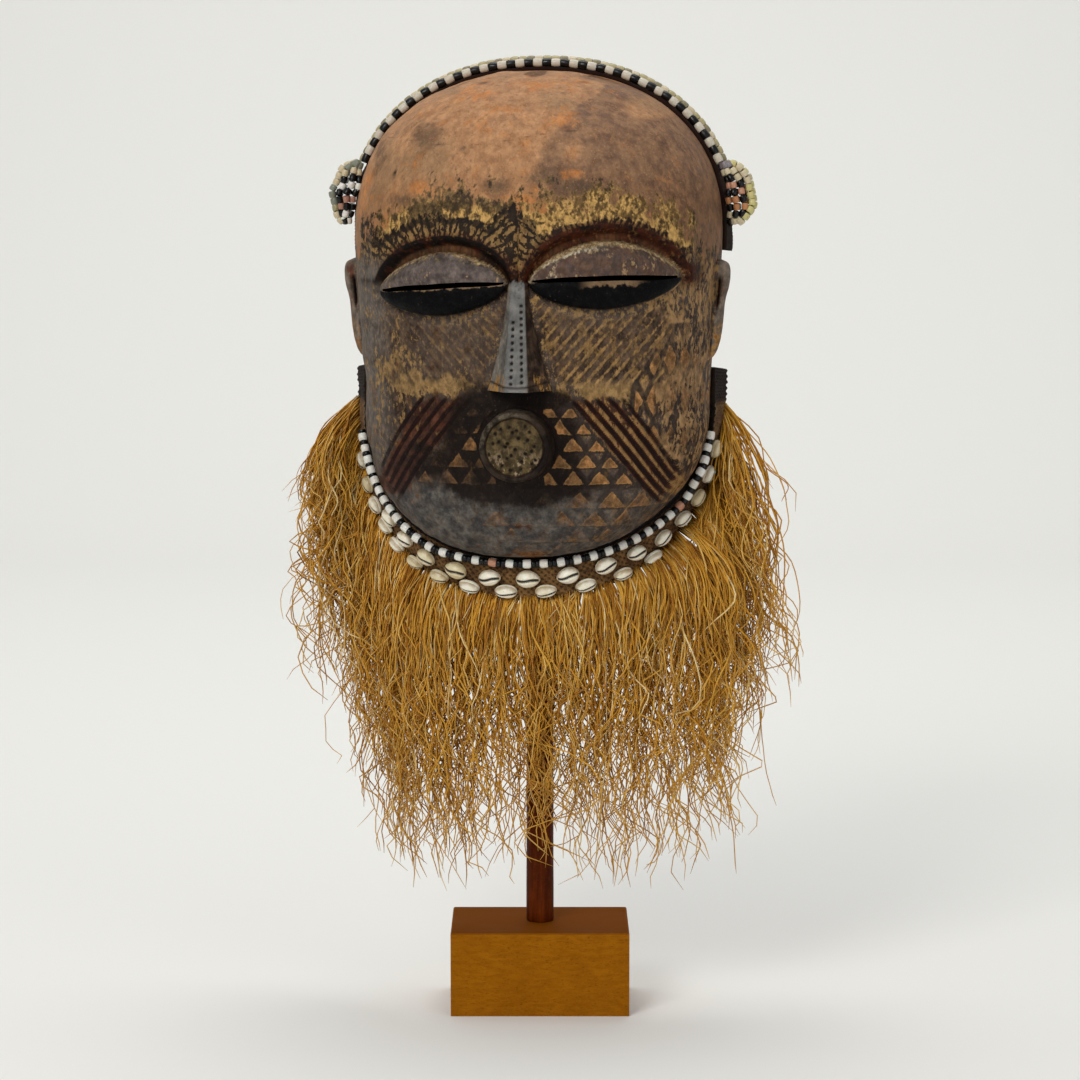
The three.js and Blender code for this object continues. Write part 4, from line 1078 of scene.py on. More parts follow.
# %% Forehead and brow
def painted_forehead(f, face):
    """Forehead: orange-tan paint with brighter and greyer clouds, purple-brown on the right."""
    orange = f.lay((152, 110, 76), (184, 138, 98), f.rub, 0.3, 0.7)
    orange = f.lay(orange, (188, 126, 74), f.times(f.small_swing, 0.3, f.mid), 0.54, 0.7, 0.8)
    orange = f.lay(orange, (142, 112, 82), f.big, 0.5, 0.66, 0.6)
    orange = f.lay(orange, (122, 92, 64), f.crumble, -0.08, -0.2, 0.5)
    purple = f.lay((104, 77, 61), (142, 108, 80), f.rub, 0.32, 0.66)
    purple = f.lay(purple, (108, 92, 80), f.mid, 0.58, 0.7, 0.6)
    purple = f.lay(purple, (150, 108, 72), f.crumble, 0.08, 0.2, 0.55)
    share = f.ramp(f.rough(f.read("purple"), 0.9, 1.9), 0.05, 0.95, 0.0, 0.92)
    fore = f.blend(share, orange, purple)
    fore = f.blend(f.ramp(f.height, 0.98, 0.7, 0, 0.5), fore, (0.66, 0.58, 0.46, 1), "MULTIPLY")
    spotted = f.rough(f.read("stain"), 1.6, 2.0)
    fore = f.lay(fore, (84, 68, 54), spotted, 0.2, 1.0, 0.75)
    lively = f.rough(f.read("bright"), 2.0, 3.0)
    fore = f.lay(fore, (196, 124, 62), lively, 0.25, 1.05, 0.6)
    fore = f.blend(f.times(f.ramp(f.read("crack"), 0.8, 0.1), f.ramp(f.mid, 0.4, 0.55, 0, 0.7)), fore,
                   (84, 62, 46))
    fore = f.lay(fore, (196, 160, 122), f.dust, 0.58, 0.72, 0.35)
    # A small pit, not carved, painted dark as the shade inside it.
    fore = f.blend(f.read("pit"), fore, (30, 22, 16))
    smear = f.lay((66, 54, 40), (118, 92, 58), f.rub, 0.42, 0.58)
    face = f.lay(face, smear, f.fade, 0.05, 0.35)
    return f.lay(face, fore, f.fade, 0.4, 0.75)


def brow_bands(f, face):
    """Brow: over the left eye a dark band with tan nicks under an olive one, over the right one olive
    comes down to the edge. Short strokes are cut across both."""
    gap = f.read("brow")
    wander = f.times(f.noise(7, 3, shift=5.0), 5.0, f.read("brow_along"))
    strokes = f.ramp(f.times(f.crumble, 4.5, f.sum("SINE", f.times(wander, 2.1))), 0.0, 0.8)
    olive = f.lay((98, 75, 43), (182, 144, 84), f.crumble, -0.1, 0.08)
    olive = f.blend(f.times(strokes, f.ramp(f.rub, 0.48, 0.58, 0.0, 0.75)), olive, (52, 38, 26))
    murk = f.times(f.across, 0.12, f.times(f.small_swing, 0.7, f.mid))
    olive = f.lay(olive, f.blend(f.rub, (34, 27, 19), (66, 54, 38)), murk, 0.49, 0.41, 0.8)
    nicks = f.ramp(f.times(strokes, -0.16, f.crumble), -0.06, 0.0)
    dark = f.blend(nicks, f.blend(f.rub, (24, 17, 12), (50, 38, 27)), (126, 98, 60))
    high = f.rough(gap, 10.0, 16.0)
    dark_top = f.times(f.right, -9.0, 12.0)
    centre = f.times(f.ramp(f.sum("ABSOLUTE", f.sum("SUBTRACT", f.across, -0.01)), 0.2, 0.06),
                     f.ramp(f.height, 0.82, 0.6))
    dark_top = f.times(centre, 9.0, dark_top)
    band = f.lay(dark, olive, f.sum("SUBTRACT", high, dark_top), -1.0, 1.6)
    stripe = f.sum("SUBTRACT", high, f.sum("SUBTRACT", dark_top, 2.2))
    stripe = f.times(f.ramp(f.sum("ABSOLUTE", stripe), 2.6, 0.8), f.times(f.right, -0.5, 0.9))
    band = f.blend(stripe, band, (28, 21, 15))
    low_edge = f.ramp(f.times(f.crumble, 5.0, gap), 3.6, 1.0, 0, 0.9)
    band = f.blend(low_edge, band, f.blend(nicks, (44, 22, 14), (96, 68, 40)))
    belt = f.times(f.ramp(gap, -0.6, 0.6), f.ramp(high, 25, 18))
    belt = f.times(belt, f.ramp(f.fade, 0.9, 0.5))
    face = f.blend(f.times(belt, f.read("belted")), face, band)
    # The bevel under the brow's ledge faces down into the socket: red-brown paint, made darker by painted
    # shade.
    bevel = f.times(f.ramp(gap, 1.0, -0.2), f.ramp(gap, -12.5, -10.0))
    hollow_brown = f.lay((12, 7, 5), (60, 26, 11), f.times(f.right, 0.12, f.rub), 0.46, 0.68)
    hollow_brown = f.lay(hollow_brown, (110, 78, 46), f.times(f.right, 0.07, f.crumble), 0.14, 0.2, 0.5)
    return f.blend(f.times(bevel, f.read("browed")), face, hollow_brown)


# %% Lids, nose, mouth and ears
def painted_lids(f, face):
    """Lids: the upper ones grey with a rubbed tan rim, whitish on the right eye's inner half; the lower
    ones black, and worn along the slit."""
    lid = f.lay((72, 62, 58), (106, 94, 88), f.rub, 0.35, 0.65)
    lid = f.blend(f.times(f.right, f.ramp(f.rub, 0.4, 0.56, 0.2, 0.7)), lid, (84, 56, 38))
    lid = f.blend(f.times(f.ramp(f.crumble, 0.02, 0.12, 0, 0.8), f.ramp(f.read("lid_rim"), 0.1, 0.4)), lid,
                  (120, 104, 68))
    lid = f.lay(lid, (150, 122, 88), f.times(f.right, 0.04, f.crumble), 0.13, 0.17, 0.8)
    rim = f.rough(f.read("lid_rim"), 1.0, 1.0)
    pale = f.times(f.right, f.ramp(f.across, 0.62, 0.4))
    lid = f.blend(f.times(f.ramp(rim, 0.15, 0.7), pale), lid,
                  f.lay((120, 106, 84), (184, 170, 146), f.speck, 0.4, 0.6))
    lid = f.lay(lid, f.lay((118, 94, 62), (168, 146, 110), f.dust, 0.4, 0.6), f.times(f.right, 0.16, rim),
                0.84, 1.04)
    face = f.blend(f.read("upper_lid"), face, lid)
    black = f.lay((9, 9, 10), (22, 21, 21), f.small, 0.45, 0.8)
    near = f.times(f.crumble, 6.0, f.read("lash"))
    line = f.times(f.ramp(near, 3.3, 2.2), f.ramp(f.across, 0.0, -0.1, 0.0, 1.0))
    rubbed = f.times(f.ramp(f.across, 0.36, 0.48), f.ramp(f.across, 0.8, 0.66))
    rubbed = f.times(f.ramp(f.times(f.mid_swing, 20, near), 6.4, 4.6), rubbed)
    black = f.blend(f.sum("MAXIMUM", line, rubbed), black, f.blend(f.small, (92, 70, 50), (148, 122, 92)))
    return f.blend(f.lower, face, black)


def nose_and_mouth(f, face):
    """Nose and mouth stand proud: the front and the left flank slate grey, the right one dark brown, in part
    as painted shade on the side away from the light, ochre at the nostrils; the rim of the mouth is dark,
    its disc olive and crumbling."""
    # The right flank, away from the key light, is dark brown, partly as painted shade; the left flank is
    # grey.
    side = f.lay((36, 26, 20), (72, 56, 44), f.rub, 0.42, 0.64)
    grey_side = f.lay((84, 80, 75), (120, 114, 104), f.rub, 0.35, 0.62)
    side = f.lay(side, grey_side, f.across, 0.0, -0.03)
    ridge_grey = f.lay((94, 93, 90), (126, 123, 118), f.rub, 0.38, 0.66)
    bridge = f.blend(f.facet, side, ridge_grey)
    bridge = f.blend(f.times(f.read("nostril"), f.ramp(f.sum("ADD", f.crumble, f.mid), 0.46, 0.56)),
                     bridge, (146, 108, 58))
    # A dark line painted as the shade in the gap of the nose's double lip, which is not carved.
    bridge = f.blend(f.read("lip"), bridge, (30, 20, 15))
    # Painted shade inside the drilled dots.
    bridge = f.blend(f.read("dot"), bridge, (16, 12, 10))
    face = f.blend(f.read("nose"), face, bridge)
    # Painted shadow of the nose, near-black on the face below it.
    face = f.blend(f.read("under"), face, (16, 10, 7))
    disc = f.lay((58, 47, 29), (90, 75, 48), f.small, 0.35, 0.7)
    crust = f.times(f.ramp(f.height, -0.72, -0.9), f.ramp(f.crumble, 0.02, 0.1))
    disc = f.blend(crust, disc, (150, 130, 104))
    # Painted shade inside the pin holes.
    disc = f.blend(f.read("pin"), disc, (24, 17, 12))
    tube = f.lay((22, 14, 10), (50, 39, 31), f.mid, 0.42, 0.6)
    # The mouth's rim is paler grey on its upper left.
    tube = f.blend(f.times(f.read("lip_wear"), f.ramp(f.small, 0.4, 0.6, 0.2, 0.9)), tube, (90, 80, 66))
    return f.blend(f.read("mouth"), face, f.blend(f.read("disc"), tube, disc))


def painted_ears(f, face):
    """Ears: grey-brown, red and black in the dish, ochre on the lobe."""
    ear = f.lay((90, 80, 70), (126, 112, 98), f.rub, 0.36, 0.64)
    lobe = f.ramp(f.times(f.mid_swing, 0.2, f.height), 0.0, -0.07)
    ear = f.blend(f.times(lobe, f.ramp(f.crumble, -0.1, 0.06)), ear, (156, 116, 60))
    ear = f.lay(ear, (96, 48, 32), f.times(f.big_swing, 0.6, f.crumble), 0.06, 0.14, 0.7)
    ear = f.blend(f.read("dish"), ear, f.lay((20, 12, 9), (60, 24, 17), f.mid, 0.45, 0.6))
    return f.blend(f.read("ear"), face, ear)


def hollow_and_dust(f, face):
    """The hollow and the cut edges are bare brown wood. A mottle, the grain and dust lie over everything."""
    bare = f.lay((84, 54, 32), (122, 84, 52), f.grain, 0.35, 0.65)
    face = f.blend(f.read("hollow"), face, bare)
    mottle = f.ramp(f.times(f.small_swing, 0.8, f.speck_swing), -0.16, 0.16)
    calm = f.sum("MAXIMUM", f.lower, f.facet)
    rough_share = f.times(f.ramp(f.fade, 0.5, 0.9), -0.55, f.times(calm, -0.8, 0.9))
    face = f.blend(f.sum("MAXIMUM", rough_share, 0.1), face,
                   f.blend(mottle, (0.8, 0.8, 0.8, 1), (1.4, 1.4, 1.4, 1)), "MULTIPLY")
    face = f.blend(f.ramp(f.grain, 0.3, 0.75, 0, 0.25), face, (0.5, 0.42, 0.36, 1), "MULTIPLY")
    return f.lay(face, (150, 128, 100), f.dust, 0.62, 0.78, 0.2)


# %% Finish of the carved wood
WOOD_LAYERS = (flecks, chin_coat, slanting_ridges, tan_figures, dark_scars, painted_forehead, brow_bands,
               painted_lids, nose_and_mouth, painted_ears, hollow_and_dust)


def carved_wood():
    """All layers in the order in which they cover each other, and the relief and shine of the surface."""
    f = WoodFinish()
    face = stain(f)
    for layer in WOOD_LAYERS:
        face = layer(f, face)
    skin = f.times(f.grain, 0.3, f.times(f.small, 0.4, f.times(f.dust, 0.22)))
    skin = f.times(f.worn, -0.25, skin)
    skin = f.times(f.ramp(f.ragged, -0.2, 0.6), f.times(f.fresh, 0.3), skin)
    skin = f.times(f.chip, 0.35, skin)
    shine = f.times(f.rub, 0.35, 0.42)
    shine = f.times(f.lower, -0.1, shine)
    shine = f.times(f.facet, -0.14, shine)
    gleam = f.times(f.facet, 0.12, f.times(f.lower, -0.06, 0.1))
    return f.done(Base_Color=face, Roughness=shine, Normal=f.bump(skin, 0.7), Specular_IOR_Level=gleam)


def slit_black():
    """The walls of the slits: near-black as painted shade deep inside them, with a trace of brown where the
    knife left fibres standing.
    """
    f = Finish("slit_black")
    fibre, cloud = f.noise(1.2, 4, stretch=(1, 1, 0.2)), f.noise(9, 4)
    tone = f.lay((4, 3, 3), (14, 9, 7), fibre, 0.55, 0.75, 0.6)
    tone = f.lay(tone, (9, 7, 6), cloud, 0.55, 0.7, 0.5)
    return f.done(Base_Color=tone, Roughness=0.95, Specular_IOR_Level=0.0, Normal=f.bump(fibre, 0.2))


mask_wood.data.materials.clear()
mask_wood.data.materials.append(carved_wood())
mask_wood.data.materials.append(slit_black())
mask_wood.data.polygons.foreach_set("material_index", in_slit.astype(np.int32))
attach(mask_wood, "root")
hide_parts("wood_face")
print("wood finish nodes", len(mask_wood.data.materials[0].node_tree.nodes))

# %% [markdown]
# ## The edge of the mask as a path
# Cloth, beads and shells all follow the mask's edge, so they share one path. An angle is measured from
# the crown, clockwise as the viewer sees it, about a centre in the middle of the face. A band is turned
# by its lean: at 0 it looks forwards, at 90 degrees it looks straight out.

# %% The path of the edge
BAND_CLEAR = 0.4
JAW_ENDS, CROWN_ENDS = (107, 253), (-71, 71)
JAW_LEAN, JAW_TURN_LEFT, JAW_TURN_RIGHT, JAW_THICK = 6.0, 65.0, 72.0, 2.4
CROWN_LEAN, CROWN_THICK = 72.0, 1.8
BEAD_RADIUS = 2.75


def edge_point(angle):
    """Where the ray at an angle, in degrees, meets the edge. The distance is halved in on 40 times."""
    turn = np.radians(angle)
    near, far = np.full(turn.shape, 20.0), np.full(turn.shape, 220.0)
    for _ in range(40):
        middle = (near + far) / 2
        x, z = middle * np.sin(turn), OUTLINE_CENTRE_Z + middle * np.cos(turn)
        inside = (z > Z_LOW) & (z < Z_HIGH) & (np.abs(x - jaw_sway(z)) < helmet(z)[0])
        near, far = np.where(inside, middle, near), np.where(inside, far, middle)
    x, z = near * np.sin(turn), OUTLINE_CENTRE_Z + near * np.cos(turn)
    return np.stack([x, helmet(z)[2], z], -1)


def band_frame(angle, lean, thick):
    """The inner corner of the band's face, and its unit directions: along, across its width, and out of
    its face. The lean, in degrees, turns the width from pointing out to pointing back."""
    root = edge_point(angle)
    along = unit(edge_point(angle + 0.6) - edge_point(angle - 0.6))
    back = np.broadcast_to([0.0, 1.0, 0.0], root.shape)
    back = unit(back - (back * along).sum(-1, keepdims=True) * along)
    out = np.cross(back, along)
    radial = root - np.array([0, 0, OUTLINE_CENTRE_Z])
    out = out * np.sign((out * radial).sum(-1, keepdims=True))
    c, s = np.cos(np.radians(lean))[..., None], np.sin(np.radians(lean))[..., None]
    width, face = out * c + back * s, out * s - back * c
    return root + out * (BAND_CLEAR + thick * s), along, width, face


def jaw_frame(angle):
    """The jaw band looks forwards under the chin and turns outwards up the sides."""
    turn = np.where(angle > 180, JAW_TURN_LEFT, JAW_TURN_RIGHT)
    lean = JAW_LEAN + turn * smooth(np.abs(180 - angle) / 58)
    return band_frame(angle, lean, JAW_THICK)


def crown_frame(angle):
    """The crown band lies nearly flat on the edge, all the way."""
    return band_frame(angle, np.full(np.shape(angle), CROWN_LEAN), CROWN_THICK)


def line_on(path_frame, across, lift):
    """A line on a band: so far across its width, and so far out of its face."""
    root, _, width, face = path_frame
    return root + width * np.asarray(across)[..., None] + face * np.asarray(lift)[..., None]


def band_line(frame_of, across, lift):
    """The line at a fixed place on a band, as a function that gives its points for an array of angles."""
    return lambda angle: line_on(frame_of(angle), np.full(np.shape(angle), across),
                                 np.full(np.shape(angle), lift))


def angles_by_length(line_of, start, end):
    """Angles and running length of a line, to place things at true distances on it."""
    angle = np.linspace(start, end, 1600)
    return angle, running_length(line_of(angle))


for label, frame_of, ends in (("jaw", jaw_frame, JAW_ENDS), ("crown", crown_frame, CROWN_ENDS)):
    print(label, "band", round(float(angles_by_length(band_line(frame_of, 0, 0), *ends)[1][-1])), "mm long")

# %% [markdown]
# ## Cloth bands
# Coarse woven strips with a hem. A plain weave is two families of threads that pass over and under each
# other, so its height is a product of two waves. The jaw band is knotted like netting, with thicker
# threads; the crown band is a narrow dark ribbon. Both sag and bulge a little between their stitches.


# %% Bands as woven sheets
JAW_WIDTH, CROWN_WIDTH, TAIL = 27.0, 11.5, 26.0


def woven_band(name, frame_of, ends, width, thick, rows, columns, thread, depth, seed):
    """A closed sheet along the edge. Marks: hem is 1 at the two long borders, knot is the weave, and tail
    is 1 at the two ends, which are soiled."""
    angle, length = angles_by_length(band_line(frame_of, 0, 0), *ends)
    run = np.linspace(0, length[-1], rows + 1)
    path = tuple(v[:, None, :] for v in frame_of(np.interp(run, length, angle)))
    w = np.linspace(0, 1, columns + 1)[None, :]
    fray = 0.35 * waves(run, run * 0, run * 0, 7, seed)[:, None] * (2 * w - 1)
    across = (width + 0.8) * w - 0.8 + fray
    over = np.sin(np.pi * run[:, None] / thread) * np.sin(np.pi * across / thread)
    hem = smooth((1.6 - np.minimum(across, width - across)) / 1.2)
    calm = smooth(np.minimum(w, 1 - w) * width / 0.6)
    sag = 0.4 * waves(run[:, None] + 0 * w, across, 0 * across, 16, seed + 1)
    lift = (depth * over + sag * 0.6 + 0.35 * hem) * calm - 0.5 * (1 - calm)
    under = 0.15 * depth * over * calm - thick - 0.45
    front = line_on(path, across, lift)
    back = line_on(path, across, under)
    made = sheet_object(name, stand_up(front), stand_up(back))
    marks = np.stack([np.broadcast_to(m, front.shape[:2]) for m in (over, hem)])
    tail = np.repeat(smooth((TAIL - np.minimum(run, run[-1] - run)) / 6), columns + 1)
    mark(made, knot=np.tile(marks[0].ravel(), 2), hem=np.tile(marks[1].ravel(), 2), tail=np.tile(tail, 2))
    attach(made, "root")
    return made


jaw_cloth = woven_band("jaw_cloth", jaw_frame, JAW_ENDS, JAW_WIDTH, JAW_THICK, 400, 34, 2.1, 0.62, 21)
crown_cloth = woven_band("crown_cloth", crown_frame, CROWN_ENDS, CROWN_WIDTH, CROWN_THICK, 420, 14, 1.1,
                         0.2, 31)
print("band triangles", triangles(jaw_cloth), triangles(crown_cloth))


# %% Finish of the cloth
def cloth(name, thread, light, hem_colour):
    """Threads of two tones, darker in the gaps of the weave, a darker hem."""
    f = Finish(name)
    fibre, cloud, fluff = f.noise(0.9, 4), f.noise(11, 5), f.noise(0.35, 2)
    tone = f.lay(thread, light, f.times(cloud, 0.6, f.times(fibre, 0.5)), 0.42, 0.68)
    # Darker where the weave dips, in the gaps between the threads.
    tone = f.lay(tone, (34, 23, 15), f.read("knot"), 0.1, -0.7, 0.75)
    tone = f.lay(tone, hem_colour, f.times(f.sum("SUBTRACT", fibre, 0.5), 0.8, f.read("hem")), 0.3, 0.7)
    tone = f.blend(f.read("tail"), tone, f.blend(cloud, (14, 9, 7), (46, 32, 22)))
    relief = f.times(fluff, 0.4, fibre)
    return f.done(Base_Color=tone, Roughness=0.9, Specular_IOR_Level=0.1, Sheen_Weight=0.06,
                  Sheen_Roughness=0.5, Normal=f.bump(relief, 0.5))


jaw_cloth.data.materials.append(cloth("jaw_netting", (72, 48, 30), (132, 98, 58), (18, 12, 9)))
crown_cloth.data.materials.append(cloth("crown_ribbon", (46, 26, 18), (76, 46, 30),
                                        (40, 22, 15)))
for band, node in ((jaw_cloth, "jaw_band"), (crown_cloth, "crown_band")):
    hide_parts(node)

# %% [markdown]
# ## Glass beads
# Trade beads are cut from a drawn glass tube and tumbled, so each is a short barrel with a hole. One
# barrel with a few dozen faces is set along a string again and again, each a little longer, thicker or
# more tilted than the next. Its colour is a mark, so a whole string is one mesh.


# %% Beads on a string
BEAD_SIDES = 9


def barrel():
    """Points and quads of a bead of radius 1 and length 1 about the Z axis, with its hole."""
    turn = np.arange(BEAD_SIDES) * 2 * np.pi / BEAD_SIDES
    profile = np.array([[0.34, -0.47], [0.86, -0.5], [1.0, -0.26], [1.0, 0.26], [0.86, 0.5], [0.34, 0.47]])
    points = np.stack([profile[:, :1] * np.cos(turn), profile[:, :1] * np.sin(turn),
                       profile[:, 1:] + 0 * turn], -1)
    return points.reshape(-1, 3), grid_faces(len(profile), BEAD_SIDES, round_rows=True, round_columns=True)


def bead_string(name, centres, axes, radii, lengths, colours, seed):
    """Barrels at the centres, their holes along the axes. Every bead gets a small tilt and a random
    number of its own, which the finish uses to vary the glass."""
    points, quads = barrel()
    quads = faces_out(points, quads)
    draw = np.random.default_rng(seed)
    count = len(centres)
    axis = unit(axes + draw.normal(0, 0.05, (count, 3)))
    first = unit(np.cross(axis, unit(draw.normal(size=(count, 3)))))
    second = np.cross(axis, first)
    radius = (radii * draw.uniform(0.94, 1.05, count))[:, None, None]
    length = (lengths * draw.uniform(0.92, 1.0, count))[:, None, None]
    placed = (centres[:, None] + points[None, :, :1] * first[:, None] * radius + points[None, :, 1:2]
              * second[:, None] * radius + points[None, :, 2:] * axis[:, None] * length)
    made = mesh_object(name, placed.reshape(-1, 3) * MM, repeated(quads, count, len(points)))
    mark(made, glass=np.repeat(colours, len(points), axis=0),
         lot=np.repeat(draw.uniform(0, 1, count), len(points)))
    made.data.set_sharp_from_angle(angle=radians(70))
    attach(made, "root")
    return made


BLACK, WHITE = paint(7, 7, 8), paint(232, 230, 222)
YELLOWISH, CREAM, SALMON = paint(176, 164, 122), paint(206, 192, 160), paint(190, 138, 110)
GREY, KHAKI, CROWN_WHITE = paint(134, 126, 130), paint(140, 130, 100), paint(206, 198, 182)
CROWN_STRING_ENDS, JAW_STRING_ENDS = (-49.6, 49.6), (124.5, 235.5)
WHITE_LONG = 5.2
PITCH_AT, PITCH = [0, 0.2, 0.35, 0.6, 0.74, 0.8, 1], [8.2, 9.0, 10.4, 11.4, 10.6, 7.7, 7.6]


def along_line(line_of, ends, lengths):
    """Bead centres and axes on a line, when the beads have these lengths and touch. The row is scaled a
    little so that it ends exactly at the end."""
    angle, length = angles_by_length(line_of, *ends)
    middle = np.cumsum(lengths) - lengths / 2
    scale = length[-1] / lengths.sum()
    at = np.interp(middle * scale, length, angle)
    ahead = unit(line_of(at + 0.2) - line_of(at - 0.2))
    return stand_up(line_of(at)), stand_up(ahead) - stand_up(0 * ahead), lengths * scale


def crown_string(name, across, pitch, pattern, seed):
    """A row over the crown whose colours repeat the pattern."""
    line_of = band_line(crown_frame, across, BEAD_RADIUS + 0.1)
    count = int(angles_by_length(line_of, *CROWN_STRING_ENDS)[1][-1] / pitch)
    where, axes, lengths = along_line(line_of, CROWN_STRING_ENDS, np.full(count, pitch))
    colours = np.array([pattern[k % len(pattern)] for k in range(count)])
    return bead_string(name, where, axes, np.full(count, BEAD_RADIUS), lengths, colours, seed)


front_row = crown_string("crown_beads_front", 1.6, 5.7, [BLACK, CROWN_WHITE], 41)
rear_row = crown_string("crown_beads_rear", 7.9, 5.2, [YELLOWISH, KHAKI, CREAM, YELLOWISH], 42)


def jaw_bead_line(angle):
    """The string lies 3.1 mm in on the band's face and sags under the left jaw. Towards the right temple
    it slips off the band's face onto the edge of the wood."""
    across = mix(3.1, -3.3, smooth((142 - angle) / 7)) + 2 * np.exp(-((angle - 204.5) / 6) ** 2)
    lift = mix(BEAD_RADIUS + 0.1, 0.4, smooth((134.5 - angle) / 6))
    return line_on(jaw_frame(angle), across, lift)


def jaw_string():
    """White beads 5.2 mm long with black ones between them: one at the sides, and two below, where the
    whites lie furthest apart."""
    whole = float(angles_by_length(jaw_bead_line, *JAW_STRING_ENDS)[1][-1])
    sizes, colours, run = [], [], 0.0
    draw = np.random.default_rng(43)
    while run < whole:
        pitch = np.interp(run / whole, PITCH_AT, PITCH)
        blacks = 1 if pitch < 9.6 else 2
        stained = 0.12 < run / whole < 0.75 and draw.uniform() < 0.18
        white = (SALMON if draw.uniform() < 0.6 else CREAM) if stained else WHITE
        sizes += [WHITE_LONG] + [(pitch - WHITE_LONG) / blacks] * blacks
        colours += [white] + [BLACK] * blacks
        run += pitch
    lengths = np.array(sizes)
    where, axes, lengths = along_line(jaw_bead_line, JAW_STRING_ENDS, lengths)
    return bead_string("jaw_beads", where, axes, np.where(lengths > 4.6, 2.95, 2.75), lengths,
                       np.array(colours), 44)


jaw_row = jaw_string()
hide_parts("crown_bead_string")
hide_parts("crown_rear_string")
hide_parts("jaw_bead_string")
print("bead triangles", triangles(front_row) + triangles(rear_row) + triangles(jaw_row))

# %% [markdown]
# ## Pompoms of looped beads
# At each temple a handful of strings is looped outwards and tied down again, so the loops stand like a
# pompom. The strings were threaded in the same order, so rows of black and of white run across all of
# them. The outermost loops are of one pale glass.


# %% Pompoms
MIST, PINK, ORANGE = paint(128, 132, 118), paint(176, 130, 112), paint(184, 128, 84)
RED_BROWN, PALE_YELLOW, OLIVE = paint(70, 26, 16), paint(206, 196, 132), paint(150, 144, 104)
LEFT_ROWS = [MIST, CREAM, BLACK, WHITE, BLACK, PINK, BLACK, WHITE, BLACK, CREAM]
RIGHT_ROWS = [GREY, CREAM, BLACK, SALMON, BLACK, ORANGE, BLACK, CREAM, BLACK, RED_BROWN]
LEFT_OUTER, RIGHT_OUTER = [OLIVE, CREAM, MIST, CREAM], [PALE_YELLOW, PALE_YELLOW, CREAM, PALE_YELLOW]
LOOP_BEAD, ROW_HIGH = 4.5, 4.7
LOOPS = [(-1.0, -2.4), (3.4, -3.4), (2.0, 2.4), (7.8, -0.8), (6.6, 4.8), (12.0, 2.2), (11.6, 7.4), (5.6, 9.6)]


def pompom(name, side, rows, outer, seed):
    """Loops fanned about the edge, each with its reach outwards and backwards, rising as sin(pi t)^0.5.
    Rows of one colour run across the inner five loops, the outer three are of pale glass."""
    draw = np.random.default_rng(seed)
    centres, axes, colours = [], [], []
    for order, (reach, back) in enumerate(LOOPS):
        t = np.linspace(0.02, 0.98, 240)
        swell = np.sin(np.pi * t) ** 0.5
        path = crown_frame(side * mix(49.8, 64.6, t))
        line = line_on(path, 3.0 + back * swell, CROWN_THICK + 2.6 + reach * swell)
        line = line + 0.6 * np.stack([waves(t * 40, t * 0 + seed + reach, t * 0 + k, 14, 50 + k)
                                      for k in range(3)], -1)
        line = stand_up(line)
        length = running_length(line)
        count = int(length[-1] / (LOOP_BEAD * 0.97))
        middle = (np.arange(count) + 0.5) * length[-1] / count
        here = np.stack([np.interp(middle, length, line[:, k]) for k in range(3)], -1)
        ahead = np.stack([np.interp(middle + 0.5, length, line[:, k]) for k in range(3)], -1)
        centres.append(here)
        axes.append(unit(ahead - here))
        if order >= 5:
            colours.append(np.array(outer)[draw.integers(0, len(outer), count)])
        else:
            level = ((line[0, 2] - here[:, 2]) / ROW_HIGH).astype(int)
            colours.append(np.array(rows)[np.clip(level, 0, len(rows) - 1)])
    centres, axes, colours = (np.concatenate(v) for v in (centres, axes, colours))
    return bead_string(name, centres, axes, np.full(len(centres), LOOP_BEAD / 2),
                       np.full(len(centres), LOOP_BEAD * 0.93), colours, seed)


left_pompom = pompom("left_pompom", -1, LEFT_ROWS, LEFT_OUTER, 61)
right_pompom = pompom("right_pompom", 1, RIGHT_ROWS, RIGHT_OUTER, 62)
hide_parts("left_bead_cluster")
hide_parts("right_bead_cluster")
print("pompom triangles", triangles(left_pompom) + triangles(right_pompom))


# %% Finish of the glass
def trade_glass():
    """Dense glass: white and black nearly opaque, the yellowish ones let light in. Dust dulls it."""
    f = Finish("trade_glass")
    colour, lot = f.read("glass", "Color"), f.read("lot")
    chalk, dirt = f.noise(1.4, 4), f.noise(3.5, 4, shift=2.0)
    varied = f.blend(f.times(lot, 0.35), colour, (0.72, 0.66, 0.55, 1), "MULTIPLY")
    soiled = f.ramp(f.sum("ADD", chalk, f.times(dirt, 0.5)), 0.76, 0.98, 0, 0.35)
    varied = f.blend(soiled, varied, (0.5, 0.4, 0.3, 1), "MULTIPLY")
    gloss = f.times(dirt, 0.3, f.times(lot, 0.12, 0.1))
    return f.done(Base_Color=varied, Roughness=gloss, Specular_IOR_Level=0.34, Subsurface_Weight=0.08,
                  Subsurface_Scale=0.002, Normal=f.bump(chalk, 0.12))


glass = trade_glass()
for string in (front_row, rear_row, jaw_row, left_pompom, right_pompom):
    string.data.materials.append(glass)

# %% [markdown]
# ## Cowrie shells
# Each shell is sewn on with its mouth outwards: an egg of porcelain with a dark curved slit, whose lips
# carry small teeth. The domed back of a shell is ground off so that it lies flat on the cloth. One form
# is made once, then set along the band in two rows at listed places, as the gaps in the photograph show.

